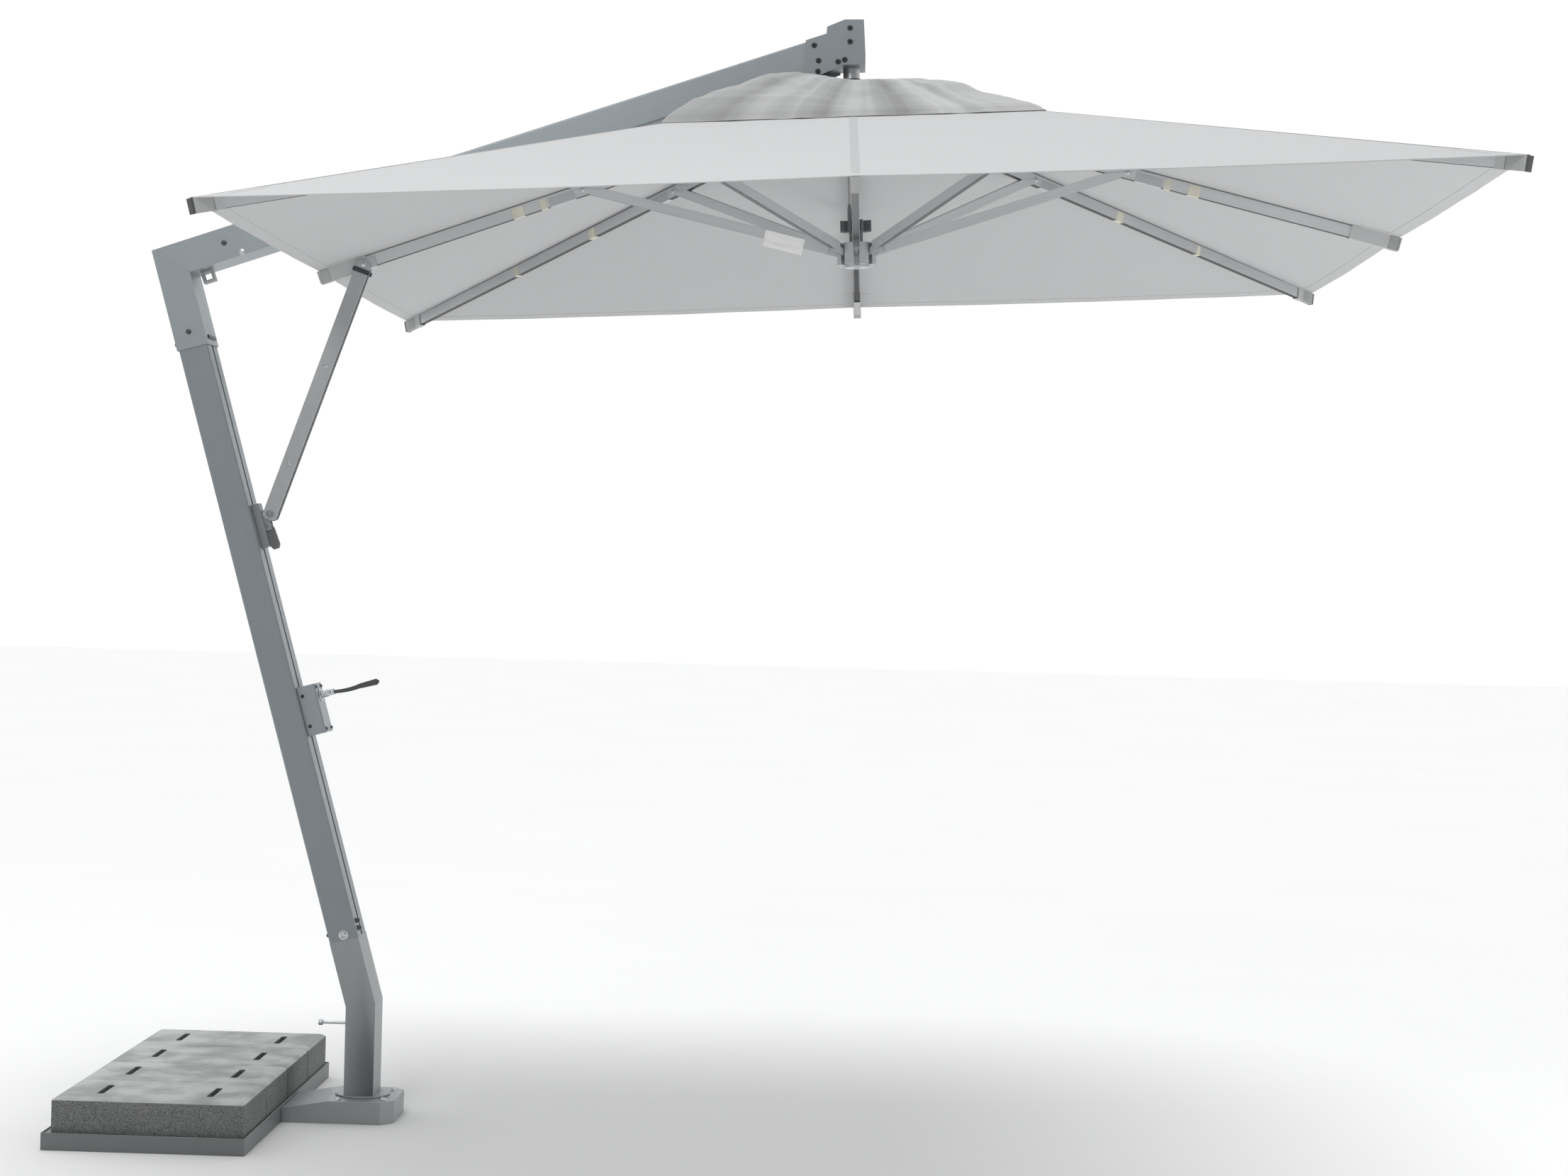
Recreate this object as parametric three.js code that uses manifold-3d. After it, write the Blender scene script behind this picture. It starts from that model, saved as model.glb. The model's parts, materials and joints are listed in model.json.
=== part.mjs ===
// Cantilever parasol with a square canopy, a swivelling leaning mast and a ballasted foot.
// Millimetres. +Z up, +X from the mast towards the canopy, origin on the ground under the mast.
import * as THREE from 'three';
import { mergeVertices } from 'three/addons/utils/BufferGeometryUtils.js';
import Module from 'manifold-3d';

const wasm = await Module();
wasm.setup();

// ---- driving dimensions ----
const GAP = 0.3; // clearance kept between touching pieces
const canopy = {
  half: 1500, // from the centre to a rib tip at the middle of a side
  centreX: 1321, // of the rim, from the mast foot
  rimHeight: 2420,
  tilt: 3.07, // outer side higher, degrees
  hubHeight: 432, // rib pivots above the rib tips
  lowerHubHeight: 22, // strut pivots above the rib tips
  pivotRadius: 50, // of both rings of pivots
  strutRadius: { middle: 757, corner: 755 }, // where a strut meets its rib
  clothThickness: 2,
  clothClearance: 19, // from the rib centre line to the cloth
  ventHalf: 240, // half the opening in the main cloth
};
// A slot is its width and the radius where it starts.
const rib = { width: 16.4, height: 32, wall: 1.4, tongue: 10, slot: [11, 36] };
const strut = { inside: 17.6, wall: 1.3, top: 18.5, bottom: -7, tongue: 8, slot: [14, 30] };
const profile = { across: 82, wide: 122, wall: 2.5, radius: 5, groove: 16, grooveDepth: 8 };
const mast = { centre: -1.5, footBottom: 68.3, bend: 319, lean: 15.8, joint: 187, elbow: 2171 };
const boom = { rise: 19, start: 95, end: 1925 };
const sleeve = { wall: 3, play: 0.5, down: 286, along: 330 };
const rope = { diameter: 5, inBoom: -25, inMast: -16, drop: -16, sheave: 26.8 };
const tray = { left: -737, right: -204, half: 575, height: 46, recess: 4, sheet: 3 };
const slab = { left: -717, right: -211, count: 4, pitch: 279, length: 275, height: 92 };
const bracket = { end: 103, half: 118, height: 62, low: 40, shoulder: -75, chamfer: 34 };
const post = { radius: 29, top: 290 };
const winch = { bottom: 758, top: 898, half: 45, depth: 49, shaft: 863, drum: 20 };
const brace = { foot: [-297, 1677], lean: 19.2, length: 741, inside: 14, plate: 5, half: 20 };

const rad = THREE.MathUtils.degToRad;
const half = profile.across / 2;
const wideHalf = profile.wide / 2;

// ---- materials ----
const finish = (colour, roughness, metalness) => new THREE.MeshStandardMaterial({
  color: colour, roughness, metalness,
});
const aluminium = () => finish(0x858b8e, 0.45, 0.8);
const steel = () => finish(0x767a7d, 0.5, 0.6);
const zinc = () => finish(0xb4b8ba, 0.35, 0.9);
const blackPlastic = () => finish(0x2b2c2e, 0.6, 0);
const nylon = () => finish(0xd8d8d2, 0.5, 0);
const concrete = () => finish(0xa7aaa8, 0.95, 0);
const cloth = () => finish(0xd2d2d4, 0.9, 0);
const cordFibre = () => finish(0xa9a9a9, 0.8, 0);

// ---- solids ----
function solidOf(geometry) {
  const bare = geometry.clone();
  for (const name of Object.keys(bare.attributes)) {
    if (name !== 'position') bare.deleteAttribute(name);
  }
  const merged = mergeVertices(bare, 1e-3);
  return new wasm.Manifold(new wasm.Mesh({
    numProp: 3,
    vertProperties: Float32Array.from(merged.attributes.position.array),
    triVerts: Uint32Array.from(merged.index.array),
  }));
}

function geometryOf(solid) {
  const mesh = solid.getMesh();
  const geometry = new THREE.BufferGeometry();
  geometry.setAttribute('position', new THREE.BufferAttribute(mesh.vertProperties, 3));
  geometry.setIndex(new THREE.BufferAttribute(mesh.triVerts, 1));
  const flat = geometry.toNonIndexed();
  flat.computeVertexNormals();
  return flat;
}

function join(...pieces) {
  return geometryOf(pieces.map(solidOf).reduce((sum, piece) => sum.add(piece)));
}

function cut(piece, ...tools) {
  return geometryOf(tools.map(solidOf).reduce((rest, tool) => rest.subtract(tool), solidOf(piece)));
}

function common(...pieces) {
  return geometryOf(pieces.map(solidOf).reduce((sum, piece) => sum.intersect(piece)));
}

function block(x0, x1, y0, y1, z0, z1) {
  const box = new THREE.BoxGeometry(x1 - x0, y1 - y0, z1 - z0);
  return box.translate((x0 + x1) / 2, (y0 + y1) / 2, (z0 + z1) / 2);
}

// A rod along x, y or z; at gives the other two coordinates in order.
function rod(axis, radius, from, to, at = [0, 0], sides = 20) {
  const bar = new THREE.CylinderGeometry(radius, radius, to - from, sides);
  const middle = (from + to) / 2;
  if (axis === 'x') return bar.rotateZ(-Math.PI / 2).translate(middle, at[0], at[1]);
  if (axis === 'y') return bar.translate(at[0], middle, at[1]);
  return bar.rotateX(Math.PI / 2).translate(at[0], at[1], middle);
}

// A flat plate: an outline of [x, z] points, from y0 to y1.
function plate(outline, y0, y1) {
  const shape = new THREE.Shape(outline.map(([x, z]) => new THREE.Vector2(x, z)));
  const body = new THREE.ExtrudeGeometry(shape, { depth: y1 - y0, bevelEnabled: false });
  return body.rotateX(Math.PI / 2).translate(0, y1, 0);
}

// An outline of [x, y] points, from z0 to z1.
function prism(outline, z0, z1) {
  const shape = new THREE.Shape(outline.map(([x, y]) => new THREE.Vector2(x, y)));
  const body = new THREE.ExtrudeGeometry(shape, { depth: z1 - z0, bevelEnabled: false });
  return body.translate(0, 0, z0);
}

// A thin closed sheet over surface points, lying between them and them raised by thickness.
function sheet(points, faces, thickness) {
  const count = points.length;
  const corners = [...points, ...points.map(([x, y, z]) => [x, y, z + thickness])];
  const index = [];
  const edges = new Map();
  for (const [a, b, c] of faces) {
    index.push(a, c, b, a + count, b + count, c + count);
    for (const [p, q] of [[a, b], [b, c], [c, a]]) edges.set(`${p},${q}`, [p, q]);
  }
  for (const [p, q] of edges.values()) {
    if (!edges.has(`${q},${p}`)) index.push(p, q, q + count, p, q + count, p + count);
  }
  const geometry = new THREE.BufferGeometry();
  geometry.setAttribute('position', new THREE.Float32BufferAttribute(corners.flat(), 3));
  geometry.setIndex(index);
  return geometryOf(solidOf(geometry));
}

// A round tube along points whose bends all lie near the XZ plane.
function cordAlong(points, radius, sides = 8) {
  const sideways = new THREE.Vector3(0, 1, 0);
  const positions = [];
  points.forEach((point, i) => {
    const before = points[Math.max(i - 1, 0)];
    const after = points[Math.min(i + 1, points.length - 1)];
    const along = after.clone().sub(before).setY(0).normalize();
    const up = new THREE.Vector3().crossVectors(along, sideways);
    for (let k = 0; k < sides; k += 1) {
      const turn = (2 * Math.PI * k) / sides;
      const corner = point.clone()
        .addScaledVector(sideways, radius * Math.cos(turn))
        .addScaledVector(up, radius * Math.sin(turn));
      positions.push(...corner.toArray());
    }
  });
  const index = [];
  const last = (points.length - 1) * sides;
  for (let k = 0; k < sides; k += 1) {
    const next = (k + 1) % sides;
    for (let i = 0; i < last; i += sides) {
      index.push(i + k, i + next, i + sides + next, i + k, i + sides + next, i + sides + k);
    }
    if (k > 0 && k < sides - 1) index.push(0, k + 1, k, last, last + k, last + k + 1);
  }
  const geometry = new THREE.BufferGeometry();
  geometry.setAttribute('position', new THREE.Float32BufferAttribute(positions, 3));
  geometry.setIndex(index);
  const solid = solidOf(geometry);
  if (solid.volume() > 0) return geometryOf(solid);
  for (let i = 0; i < index.length; i += 3) {
    [index[i + 1], index[i + 2]] = [index[i + 2], index[i + 1]];
  }
  geometry.setIndex(index);
  return geometryOf(solidOf(geometry));
}

// ---- frames ----
function frame(x, z, turnAboutY) {
  const group = new THREE.Group();
  group.position.set(x, 0, z);
  group.rotation.y = rad(turnAboutY);
  group.updateMatrix();
  return group;
}

const parasol = new THREE.Group();
parasol.name = 'cantilever_parasol';
const mastFrame = frame(mast.centre, mast.bend, -mast.lean);
const elbowCorner = new THREE.Vector3(-half, 0, mast.elbow).applyMatrix4(mastFrame.matrix);
const boomFrame = frame(elbowCorner.x, elbowCorner.z, -boom.rise);
const canopyFrame = frame(canopy.centreX, canopy.rimHeight, -canopy.tilt);
const braceFrame = frame(...brace.foot, brace.lean);
parasol.add(mastFrame, boomFrame, canopyFrame, braceFrame);

function part(name, geometry, material, parent = parasol) {
  const mesh = new THREE.Mesh(geometry, material);
  mesh.name = name;
  parent.add(mesh);
}

const moved = (geometry, from, to) => geometry
  .applyMatrix4(from.matrix)
  .applyMatrix4(to.matrix.clone().invert());

// ---- base ----
function baseTray() {
  const t = tray;
  const pan = block(t.left, t.right, -t.half, t.half, 0, t.height);
  const floor = t.height - t.recess;
  const inside = [t.left + t.sheet, t.right - t.sheet, -t.half + t.sheet, t.half - t.sheet];
  const recess = block(...inside, floor, t.height + 1);
  const below = block(...inside, -1, floor - t.sheet);
  return cut(pan, recess, below);
}

function ballastSlab(row) {
  const middle = (row - (slab.count - 1) / 2) * slab.pitch;
  const low = tray.height - tray.recess + GAP;
  return block(slab.left, slab.right, middle - slab.length / 2, middle + slab.length / 2,
    low, low + slab.height);
}

function footBracket() {
  const b = bracket;
  const plan = (end, side) => prism([
    [tray.right + GAP - (end === b.end ? 0 : 9), -side], [end - b.chamfer, -side],
    [end, -side + b.chamfer], [end, side - b.chamfer], [end - b.chamfer, side],
    [tray.right + GAP - (end === b.end ? 0 : 9), side],
  ], -1, b.height + 1);
  const sheetSteel = 5;
  const outer = plate([[tray.right - 9, 0], [b.end, 0], [b.end, b.height],
    [b.shoulder, b.height], [tray.right, b.low], [tray.right - 9, b.low]], -200, 200);
  const inner = plate([[tray.right - 9, sheetSteel], [b.end, sheetSteel],
    [b.end, b.height - sheetSteel], [b.shoulder, b.height - sheetSteel],
    [tray.right, b.low - sheetSteel], [tray.right - 9, b.low - sheetSteel]], -200, 200);
  const shell = common(plan(b.end, b.half), outer);
  const hollow = common(plan(b.end - sheetSteel, b.half - sheetSteel), inner);
  return cut(shell, hollow, rod('z', post.radius + 1, b.height - 10, b.height + 10));
}

function swivelPost() {
  const tube = rod('z', post.radius, 5 + GAP, post.top, [0, 0], 32);
  return cut(tube, rod('z', post.radius - 5, 12, post.top + 1, [0, 0], 32));
}

function swivelRing() {
  const disc = rod('z', 76, bracket.height + GAP, mast.footBottom - GAP, [0, 0], 40);
  return cut(disc, rod('z', post.radius + 1, 0, 100));
}

function swivelBush(low, high) {
  const ring = rod('z', half - sleeve.wall - 1, low, high, [mast.centre, 0], 32);
  return cut(ring, rod('z', post.radius + GAP, low - 1, high + 1, [0, 0], 32));
}

// ---- mast ----
function footOutline(reach, bottom, top) {
  const lift = reach * Math.tan(rad(mast.lean / 2));
  const [sin, cos] = [Math.sin(rad(mast.lean)), Math.cos(rad(mast.lean))];
  const point = (side, s) => [
    mast.centre - s * sin + side * reach * cos, mast.bend + s * cos + side * reach * sin];
  return [[mast.centre - reach, bottom], [mast.centre + reach, bottom],
    [mast.centre + reach, mast.bend + lift], point(1, top), point(-1, top),
    [mast.centre - reach, mast.bend - lift]];
}

function mastFoot() {
  const outer = plate(footOutline(half, mast.footBottom, mast.joint), -wideHalf, wideHalf);
  const wall = sleeve.wall;
  const inner = plate(footOutline(half - wall, mast.footBottom - 9, mast.joint + 9),
    wall - wideHalf, wideHalf - wall);
  const spigot = mastSpigot().applyMatrix4(mastFrame.matrix);
  return join(cut(outer, inner, rod('x', 5.5, -60, 0, [0, 260])), spigot);
}

// The inner sleeve that the mast profile slides over, welded into the top of the foot.
function mastSpigot() {
  const [low, high] = [120, 300];
  const outer = block(-37.5, 29, -57.5, 57.5, mast.joint - 1, high);
  const root = block(-39, 39, -59, 59, low, mast.joint - 4);
  const upper = block(-37.5, 29, -57.5, 57.5, mast.joint - 9, high);
  const bore = block(-33.5, 25.5, -53.5, 53.5, low - 1, high + 1);
  return cut(join(outer, root, upper), bore);
}

function profileSection(grooved) {
  const r = profile.radius;
  const shape = new THREE.Shape();
  shape.moveTo(-half + r, -wideHalf);
  shape.absarc(half - r, -wideHalf + r, r, -Math.PI / 2, 0);
  if (grooved) {
    const g = profile.groove / 2;
    shape.lineTo(half, -g);
    shape.lineTo(half - profile.grooveDepth, -g);
    shape.lineTo(half - profile.grooveDepth, g);
    shape.lineTo(half, g);
  }
  shape.absarc(half - r, wideHalf - r, r, 0, Math.PI / 2);
  shape.absarc(-half + r, wideHalf - r, r, Math.PI / 2, Math.PI);
  shape.absarc(-half + r, -wideHalf + r, r, Math.PI, 1.5 * Math.PI);
  const [x, y] = [half - profile.wall, wideHalf - profile.wall];
  const notch = grooved ? profile.grooveDepth : 0;
  const g = profile.groove / 2 + profile.wall;
  shape.holes.push(new THREE.Path([[-x, -y], [-x, y], [x, y], [x, g], [x - notch, g],
    [x - notch, -g], [x, -g], [x, -y]].map(([u, v]) => new THREE.Vector2(u, v))));
  return shape;
}

function mastProfile() {
  const from = mast.joint + GAP;
  const length = mast.elbow - half * 2 - 14 - from;
  const tube = new THREE.ExtrudeGeometry(profileSection(true),
    { depth: length, bevelEnabled: false, curveSegments: 4 }).translate(0, 0, from);
  return cut(tube, rod('x', 9, 0, 60, [0, winch.shaft]));
}

// ---- elbow and boom ----
function elbowBracket() {
  const reach = sleeve.wall + sleeve.play;
  const wide = wideHalf + reach;
  const inBoom = (geometry) => moved(geometry, boomFrame, mastFrame);
  const low = mast.elbow - sleeve.down;
  const mastArm = block(-half - reach, half + reach, -wide, wide, low, mast.elbow + 100);
  const boomArm = inBoom(block(-100, sleeve.along, -wide, wide, -2 * half - reach, reach));
  const keepFront = block(-half - reach, 900, -200, 200, 0, mast.elbow + 900);
  const keepBelow = inBoom(block(-900, 900, -200, 200, -900, reach));
  const play = half + sleeve.play;
  const mastSocket = block(-play, play, -wideHalf - 0.5, wideHalf + 0.5, low - 9, mast.elbow - 92);
  const boomSocket = inBoom(block(boom.start - 7, 900, -wideHalf - 0.5, wideHalf + 0.5,
    -2 * half - 0.5, 0.5));
  const room = wideHalf - 4;
  const mastPocket = block(-half + 5, half, -room, room, mast.elbow - 95, mast.elbow - 8);
  const boomPocket = inBoom(block(half, boom.start, -room, room, 3 - 2 * half, -8));
  const solid = common(join(mastArm, boomArm), keepFront, keepBelow);
  return cut(solid, mastSocket, boomSocket, mastPocket, boomPocket);
}

// The catch that hangs under the boom, just past the inner corner of the elbow.
function elbowClip() {
  const top = -2 * half - sleeve.wall - sleeve.play - GAP;
  const body = block(98, 133, -12, 12, top - 35, top);
  return cut(body, block(105, 126, -20, 20, top - 27, top - 6));
}

function boomProfile() {
  const length = boom.end - boom.start;
  const tube = new THREE.ExtrudeGeometry(profileSection(false),
    { depth: length, bevelEnabled: false, curveSegments: 4 });
  // The section's x runs down the boom's depth and its y across the boom.
  return tube.rotateY(Math.PI / 2).translate(boom.start, 0, -half);
}

const shaftTop = 535;

function boomHead() {
  const outline = [[1165, 2925], [1209, 2926], [1262, 2948], [1331, 2956], [1331, 2981],
    [1324, 3080], [1272, 3079], [1223, 3058], [1222, 3039], [1165, 3019.5]];
  const hollow = [[1150, 2880], [1262, 2880], [1262, 2964], [1327, 2964], [1320.5, 3076.5],
    [1273, 3075.5], [1226.5, 3056], [1226.5, 3036.5], [1150, 3010.5]];
  const reach = wideHalf + sleeve.wall + sleeve.play;
  const floor = block(-62, 42, -reach, reach, shaftTop + GAP, shaftTop + 6)
    .applyMatrix4(canopyFrame.matrix);
  const boomSocket = block(1700, boom.end + 8, -wideHalf - 0.5, wideHalf + 0.5,
    -2 * half - 0.5, 0.5).applyMatrix4(boomFrame.matrix);
  const under = block(-200, 200, -200, 200, 300, shaftTop + GAP).applyMatrix4(canopyFrame.matrix);
  const shell = cut(plate(outline, -reach, reach),
    plate(hollow, -wideHalf - 0.5, wideHalf + 0.5), boomSocket);
  const right = block(-400, 1331 - canopy.centreX + 30, -200, 200, 0, 900);
  const whole = common(join(shell, common(floor, plate(outline, -reach, reach))),
    right.applyMatrix4(canopyFrame.matrix));
  const bore = rod('z', 20, 500, 560, [0, 0], 32).applyMatrix4(canopyFrame.matrix);
  const besideShaft = common(under, block(1262, 1400, -200, 200, 2800, 3000));
  return cut(whole, bore, besideShaft);
}

function headShaft() {
  const tube = rod('z', 23, canopy.hubHeight + 30 + GAP, shaftTop, [0, 0], 32);
  return cut(tube, rod('z', 20.5, 400, 600, [0, 0], 32));
}

// ---- canopy linkage ----
// Rib k points at k eighths of a turn. Even ones end mid-side, odd ones at the corners.
const armCount = 8;
const isCorner = (k) => k % 2 === 1;

function linkage(k) {
  const kind = isCorner(k) ? 'corner' : 'middle';
  const tipRadius = isCorner(k) ? canopy.half * Math.SQRT2 : canopy.half;
  const reach = canopy.strutRadius[kind] - canopy.pivotRadius;
  const slope = Math.atan2(canopy.hubHeight, tipRadius - canopy.pivotRadius);
  const ribToStrut = reach / Math.cos(slope);
  const rise = canopy.hubHeight - reach * Math.tan(slope) - canopy.lowerHubHeight;
  return {
    slope,
    ribLength: (tipRadius - canopy.pivotRadius) / Math.cos(slope),
    ribToStrut,
    strutSlope: Math.atan2(rise, reach),
    strutLength: Math.hypot(rise, reach),
  };
}

// A frame on the arm's pivot, x along the arm, turned down or up by its slope.
function armFrame(k, height, slope) {
  const azimuth = new THREE.Group();
  azimuth.rotation.z = (k * Math.PI) / 4;
  const arm = new THREE.Group();
  arm.position.set(canopy.pivotRadius, 0, height);
  arm.rotation.y = slope;
  azimuth.add(arm);
  canopyFrame.add(azimuth);
  return arm;
}

const tongueOutline = [[-9, -5], [-5, -9], [40, -9], [40, 9], [-5, 9], [-9, 5]];

function ribArm(k) {
  const { ribLength, ribToStrut } = linkage(k);
  const [w, h, t] = [rib.width / 2, rib.height / 2, rib.wall];
  const end = ribLength - 4;
  const tube = cut(block(30, end, -w, w, -h, h),
    block(44, end + 1, t - w, w - t, t - h, h - t),
    rod('y', 3.6, -50, 50, [ribToStrut, 0], 8));
  const tongue = plate(tongueOutline, -rib.tongue / 2, rib.tongue / 2);
  return cut(join(tube, tongue), rod('y', 3.6, -50, 50, [0, 0], 8));
}

function strutArm(k) {
  const { strutLength: end } = linkage(k);
  const inner = strut.inside / 2;
  const outer = inner + strut.wall;
  const { top, bottom } = strut;
  const side = [[30, bottom], [end + 9, bottom], [end + 9, 8], [end - 26, 8],
    [end - 62, top], [30, top]];
  const channel = cut(plate(side, -outer, outer),
    block(44, end + 20, -inner, inner, bottom - 1, top - 1.5),
    block(end - 74, end + 20, -inner, inner, bottom - 1, top + 1));
  const tongue = plate(tongueOutline, -strut.tongue / 2, strut.tongue / 2);
  const pin = rod('y', 3, -outer - 1.5, outer + 1.5, [end, 0], 8);
  return cut(join(channel, tongue, pin), rod('y', 3.6, -50, 50, [0, 0], 8));
}

// A ring of lugs with a slot for each arm, from z0 to z1 around the pivot height.
function slottedHub(radius, bore, [width, start], z0, z1, pinHeight) {
  const slots = [];
  const pins = [];
  for (let k = 0; k < armCount; k += 1) {
    const turn = (k * Math.PI) / 4;
    slots.push(block(start, radius + 5, -width / 2, width / 2, z0 - 1, z1 + 1).rotateZ(turn));
    if (pinHeight !== undefined) {
      pins.push(rod('y', 3, -8, 8, [canopy.pivotRadius, pinHeight], 8).rotateZ(turn));
    }
  }
  const ring = cut(rod('z', radius, z0, z1, [0, 0], 32), rod('z', bore, z0 - 1, z1 + 1), ...slots);
  return pins.length ? join(ring, ...pins) : ring;
}

function topHub() {
  const z = canopy.hubHeight;
  return slottedHub(57, 20, rib.slot, z - 27, z + 30, z);
}

function lowerHub() {
  const z = canopy.lowerHubHeight;
  const ring = slottedHub(55, 12, strut.slot, z - 34, z + 27);
  const floor = cut(rod('z', 34, z - 40, z - 33), rod('z', 12, z - 60, z));
  return join(ring, floor);
}

// The yoke over the hub, with the crimped end of the rope standing on it.
function hoistYoke() {
  const base = canopy.lowerHubHeight + 27 + GAP;
  const fins = [];
  for (let k = 0; k < armCount; k += 1) {
    const fin = plate([[20, 80], [46, 84], [46, 112], [20, 112]], -2, 2);
    fins.push(fin.rotateZ(((k + 0.5) * Math.PI) / 4));
  }
  const crimp = join(rod('z', 6, 111, 150, [rope.drop, 0], 12),
    rod('z', 4.5, 149, 158, [rope.drop, 0], 12));
  return join(rod('z', 19, base, 90), rod('z', 27, 80, 112), ...fins, crimp);
}

// ---- hoist ----
// Sheave centres, where the rope's lines in boom, mast and shaft meet at one sheave radius.
function sheaveCentre(other, x) {
  const onLine = (z) => new THREE.Vector3(x, 0, z).applyMatrix4(other.matrix)
    .applyMatrix4(boomFrame.matrix.clone().invert());
  const [a, b] = [onLine(0), onLine(1)];
  const z = (rope.inBoom - rope.sheave - a.z) / (b.z - a.z);
  return onLine(z);
}
const elbowSheave = sheaveCentre(mastFrame, rope.inMast + rope.sheave);
const headSheave = sheaveCentre(canopyFrame, rope.drop - rope.sheave);

function sheave() {
  const radius = rope.sheave - rope.diameter / 2 - GAP;
  const wheel = new THREE.LatheGeometry([[5, -7], [radius + 5, -7], [radius + 5, -5.5],
    [radius, -3.2], [radius, 3.2], [radius + 5, 5.5], [radius + 5, 7], [5, 7], [5, -7]]
    .map(([r, y]) => new THREE.Vector2(r, y)), 20);
  return wheel;
}

function hoistRope() {
  const r = rope.sheave;
  const around = (centre, from, to, steps = 7) => {
    const points = [];
    for (let i = 0; i <= steps; i += 1) {
      const a = rad(from + ((to - from) * i) / steps);
      points.push(new THREE.Vector3(centre.x + r * Math.cos(a), 0, centre.z + r * Math.sin(a)));
    }
    return points.map((point) => point.applyMatrix4(boomFrame.matrix));
  };
  // Angles are counted in the boom's own frame, from its axis.
  const leaveHead = canopy.tilt - boom.rise;
  const leaveElbow = 180 + mast.lean - boom.rise;
  const drumTop = new THREE.Vector3(rope.inMast, winch.drum + rope.diameter / 2 + GAP, winch.shaft);
  return cordAlong([
    new THREE.Vector3(rope.drop, 0, 158 + GAP).applyMatrix4(canopyFrame.matrix),
    ...around(headSheave, leaveHead, 90),
    ...around(elbowSheave, 90, leaveElbow),
    drumTop.applyMatrix4(mastFrame.matrix),
  ], rope.diameter / 2);
}

// ---- winch, in the mast's frame ----
function winchHousing() {
  const front = half + GAP;
  const box = block(front, front + winch.depth, -winch.half, winch.half, winch.bottom, winch.top);
  const room = block(front + 3, front + winch.depth + 1, 3 - winch.half, winch.half - 3,
    winch.bottom + 3, winch.top - 3);
  return cut(box, room, rod('x', 7, 0, 80, [0, winch.shaft]));
}

function winchCover() {
  const back = half + 2 * GAP + winch.depth;
  const lid = block(back, back + 3, -winch.half, winch.half, winch.bottom, winch.top);
  return cut(lid, rod('x', 7, 0, 200, [0, winch.shaft]));
}

function winchDrum() {
  const spool = new THREE.LatheGeometry([[6.3, -26], [27, -26], [27, -23], [winch.drum, -22],
    [winch.drum, 19], [27, 20], [27, 23], [6.3, 23], [6.3, -26]]
    .map(([r, x]) => new THREE.Vector2(r, x)), 20);
  return spool.rotateZ(-Math.PI / 2).translate(0, 0, winch.shaft);
}

// The shaft with its brake wheel.
function crankShaft() {
  return join(rod('x', 6, -30, 112, [0, winch.shaft]), rod('x', 30, 54, 74, [0, winch.shaft], 32));
}

const crankPivot = 128;

function crankBoss() {
  const z = winch.shaft;
  const socket = cut(rod('x', 10, 98, 117, [0, z], 20), rod('x', 6.3, 90, 112 + GAP, [0, z]));
  const fork = [block(116, 134, -9, -5.5, z - 8, z + 8), block(116, 134, 5.5, 9, z - 8, z + 8)];
  return join(socket, ...fork);
}

// A thin arm that curves gently upwards as it leaves the boss.
function crankHandle() {
  const z = winch.shaft;
  const curve = new THREE.QuadraticBezierCurve3(new THREE.Vector3(crankPivot, 0, z),
    new THREE.Vector3(175, 0, z - 8), new THREE.Vector3(205, 0, z - 3));
  const section = new THREE.Shape();
  section.absarc(0, 0, 4.5, 0, 2 * Math.PI);
  const arm = new THREE.ExtrudeGeometry(section, {
    steps: 6, curveSegments: 3, extrudePath: curve,
  });
  return join(arm, rod('y', 7, -5, 5, [crankPivot, z], 16), rod('x', 4.5, 203, 262, [0, z - 3], 12));
}

function crankGrip() {
  const outline = [[4.8, 0], [9, 0], [10.5, 8], [9, 26], [10.5, 44], [9.5, 52], [4.8, 52], [4.8, 0]];
  const sleeveShape = new THREE.LatheGeometry(outline.map(([r, x]) => new THREE.Vector2(r, x)), 16);
  return sleeveShape.rotateZ(-Math.PI / 2).translate(207, 0, winch.shaft - 3);
}

function swivelLockPin() {
  return join(rod('x', 4, -120, -31, [0, 260], 16), rod('x', 8, -128, -116, [0, 260], 20));
}

// ---- wind brace ----
const carriage = { low: 1300, high: 1424, front: 62, half: 21 };
const lever = { x: 72, z: 1356 }; // its pivot
const braceAtMast = new THREE.Vector3(brace.foot[0], 0, brace.foot[1])
  .applyMatrix4(mastFrame.matrix.clone().invert());

function braceCarriage() {
  const c = carriage;
  const { x, z } = braceAtMast;
  const body = block(half + 0.5, c.front, -c.half, c.half, c.low, c.high);
  const key = block(half - 7.4, half + 1, -7.4, 7.4, c.low, c.high);
  const lug = join(block(c.front - 1, x, -13.4, 13.4, z - 20, z + 15),
    rod('y', 15, -13.4, 13.4, [x, z], 28));
  const pin = rod('y', 5, -22, 22, [x, z], 20);
  const cheeks = [-13, 9.6].map((y) => block(c.front - 1, lever.x + 8, y, y + 3.4,
    lever.z - 12, lever.z + 12));
  return join(body, key, lug, pin, ...cheeks);
}

function carriageLever() {
  const { x, z } = lever;
  const boss = rod('y', 8, -8.8, 8.8, [x, z], 20);
  const arm = plate([[x - 8, z], [x - 8, z - 60], [x - 3, z - 67], [x + 11, z - 66],
    [x + 16, z - 56], [x + 12, z - 10], [x + 8, z + 1]], -8, 8);
  return join(boss, arm);
}

function windBrace() {
  const { half: w, length, inside, plate: t } = brace;
  const outline = [[-w, -8], [-w + 8, -16], [w - 8, -16], [w, -8], [w, length + 4],
    [w - 8, length + 13], [-w + 8, length + 13], [-w, length + 4]];
  const bars = [plate(outline, inside, inside + t), plate(outline, -inside - t, -inside)];
  const spacers = [140, 430].map((z) => block(-12, 12, -inside - 1, inside + 1, z, z + 22));
  const hole = rod('y', 5.5, -40, 40, [0, 0], 20);
  return cut(join(bars[0], bars[1], ...spacers), hole);
}

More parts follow.
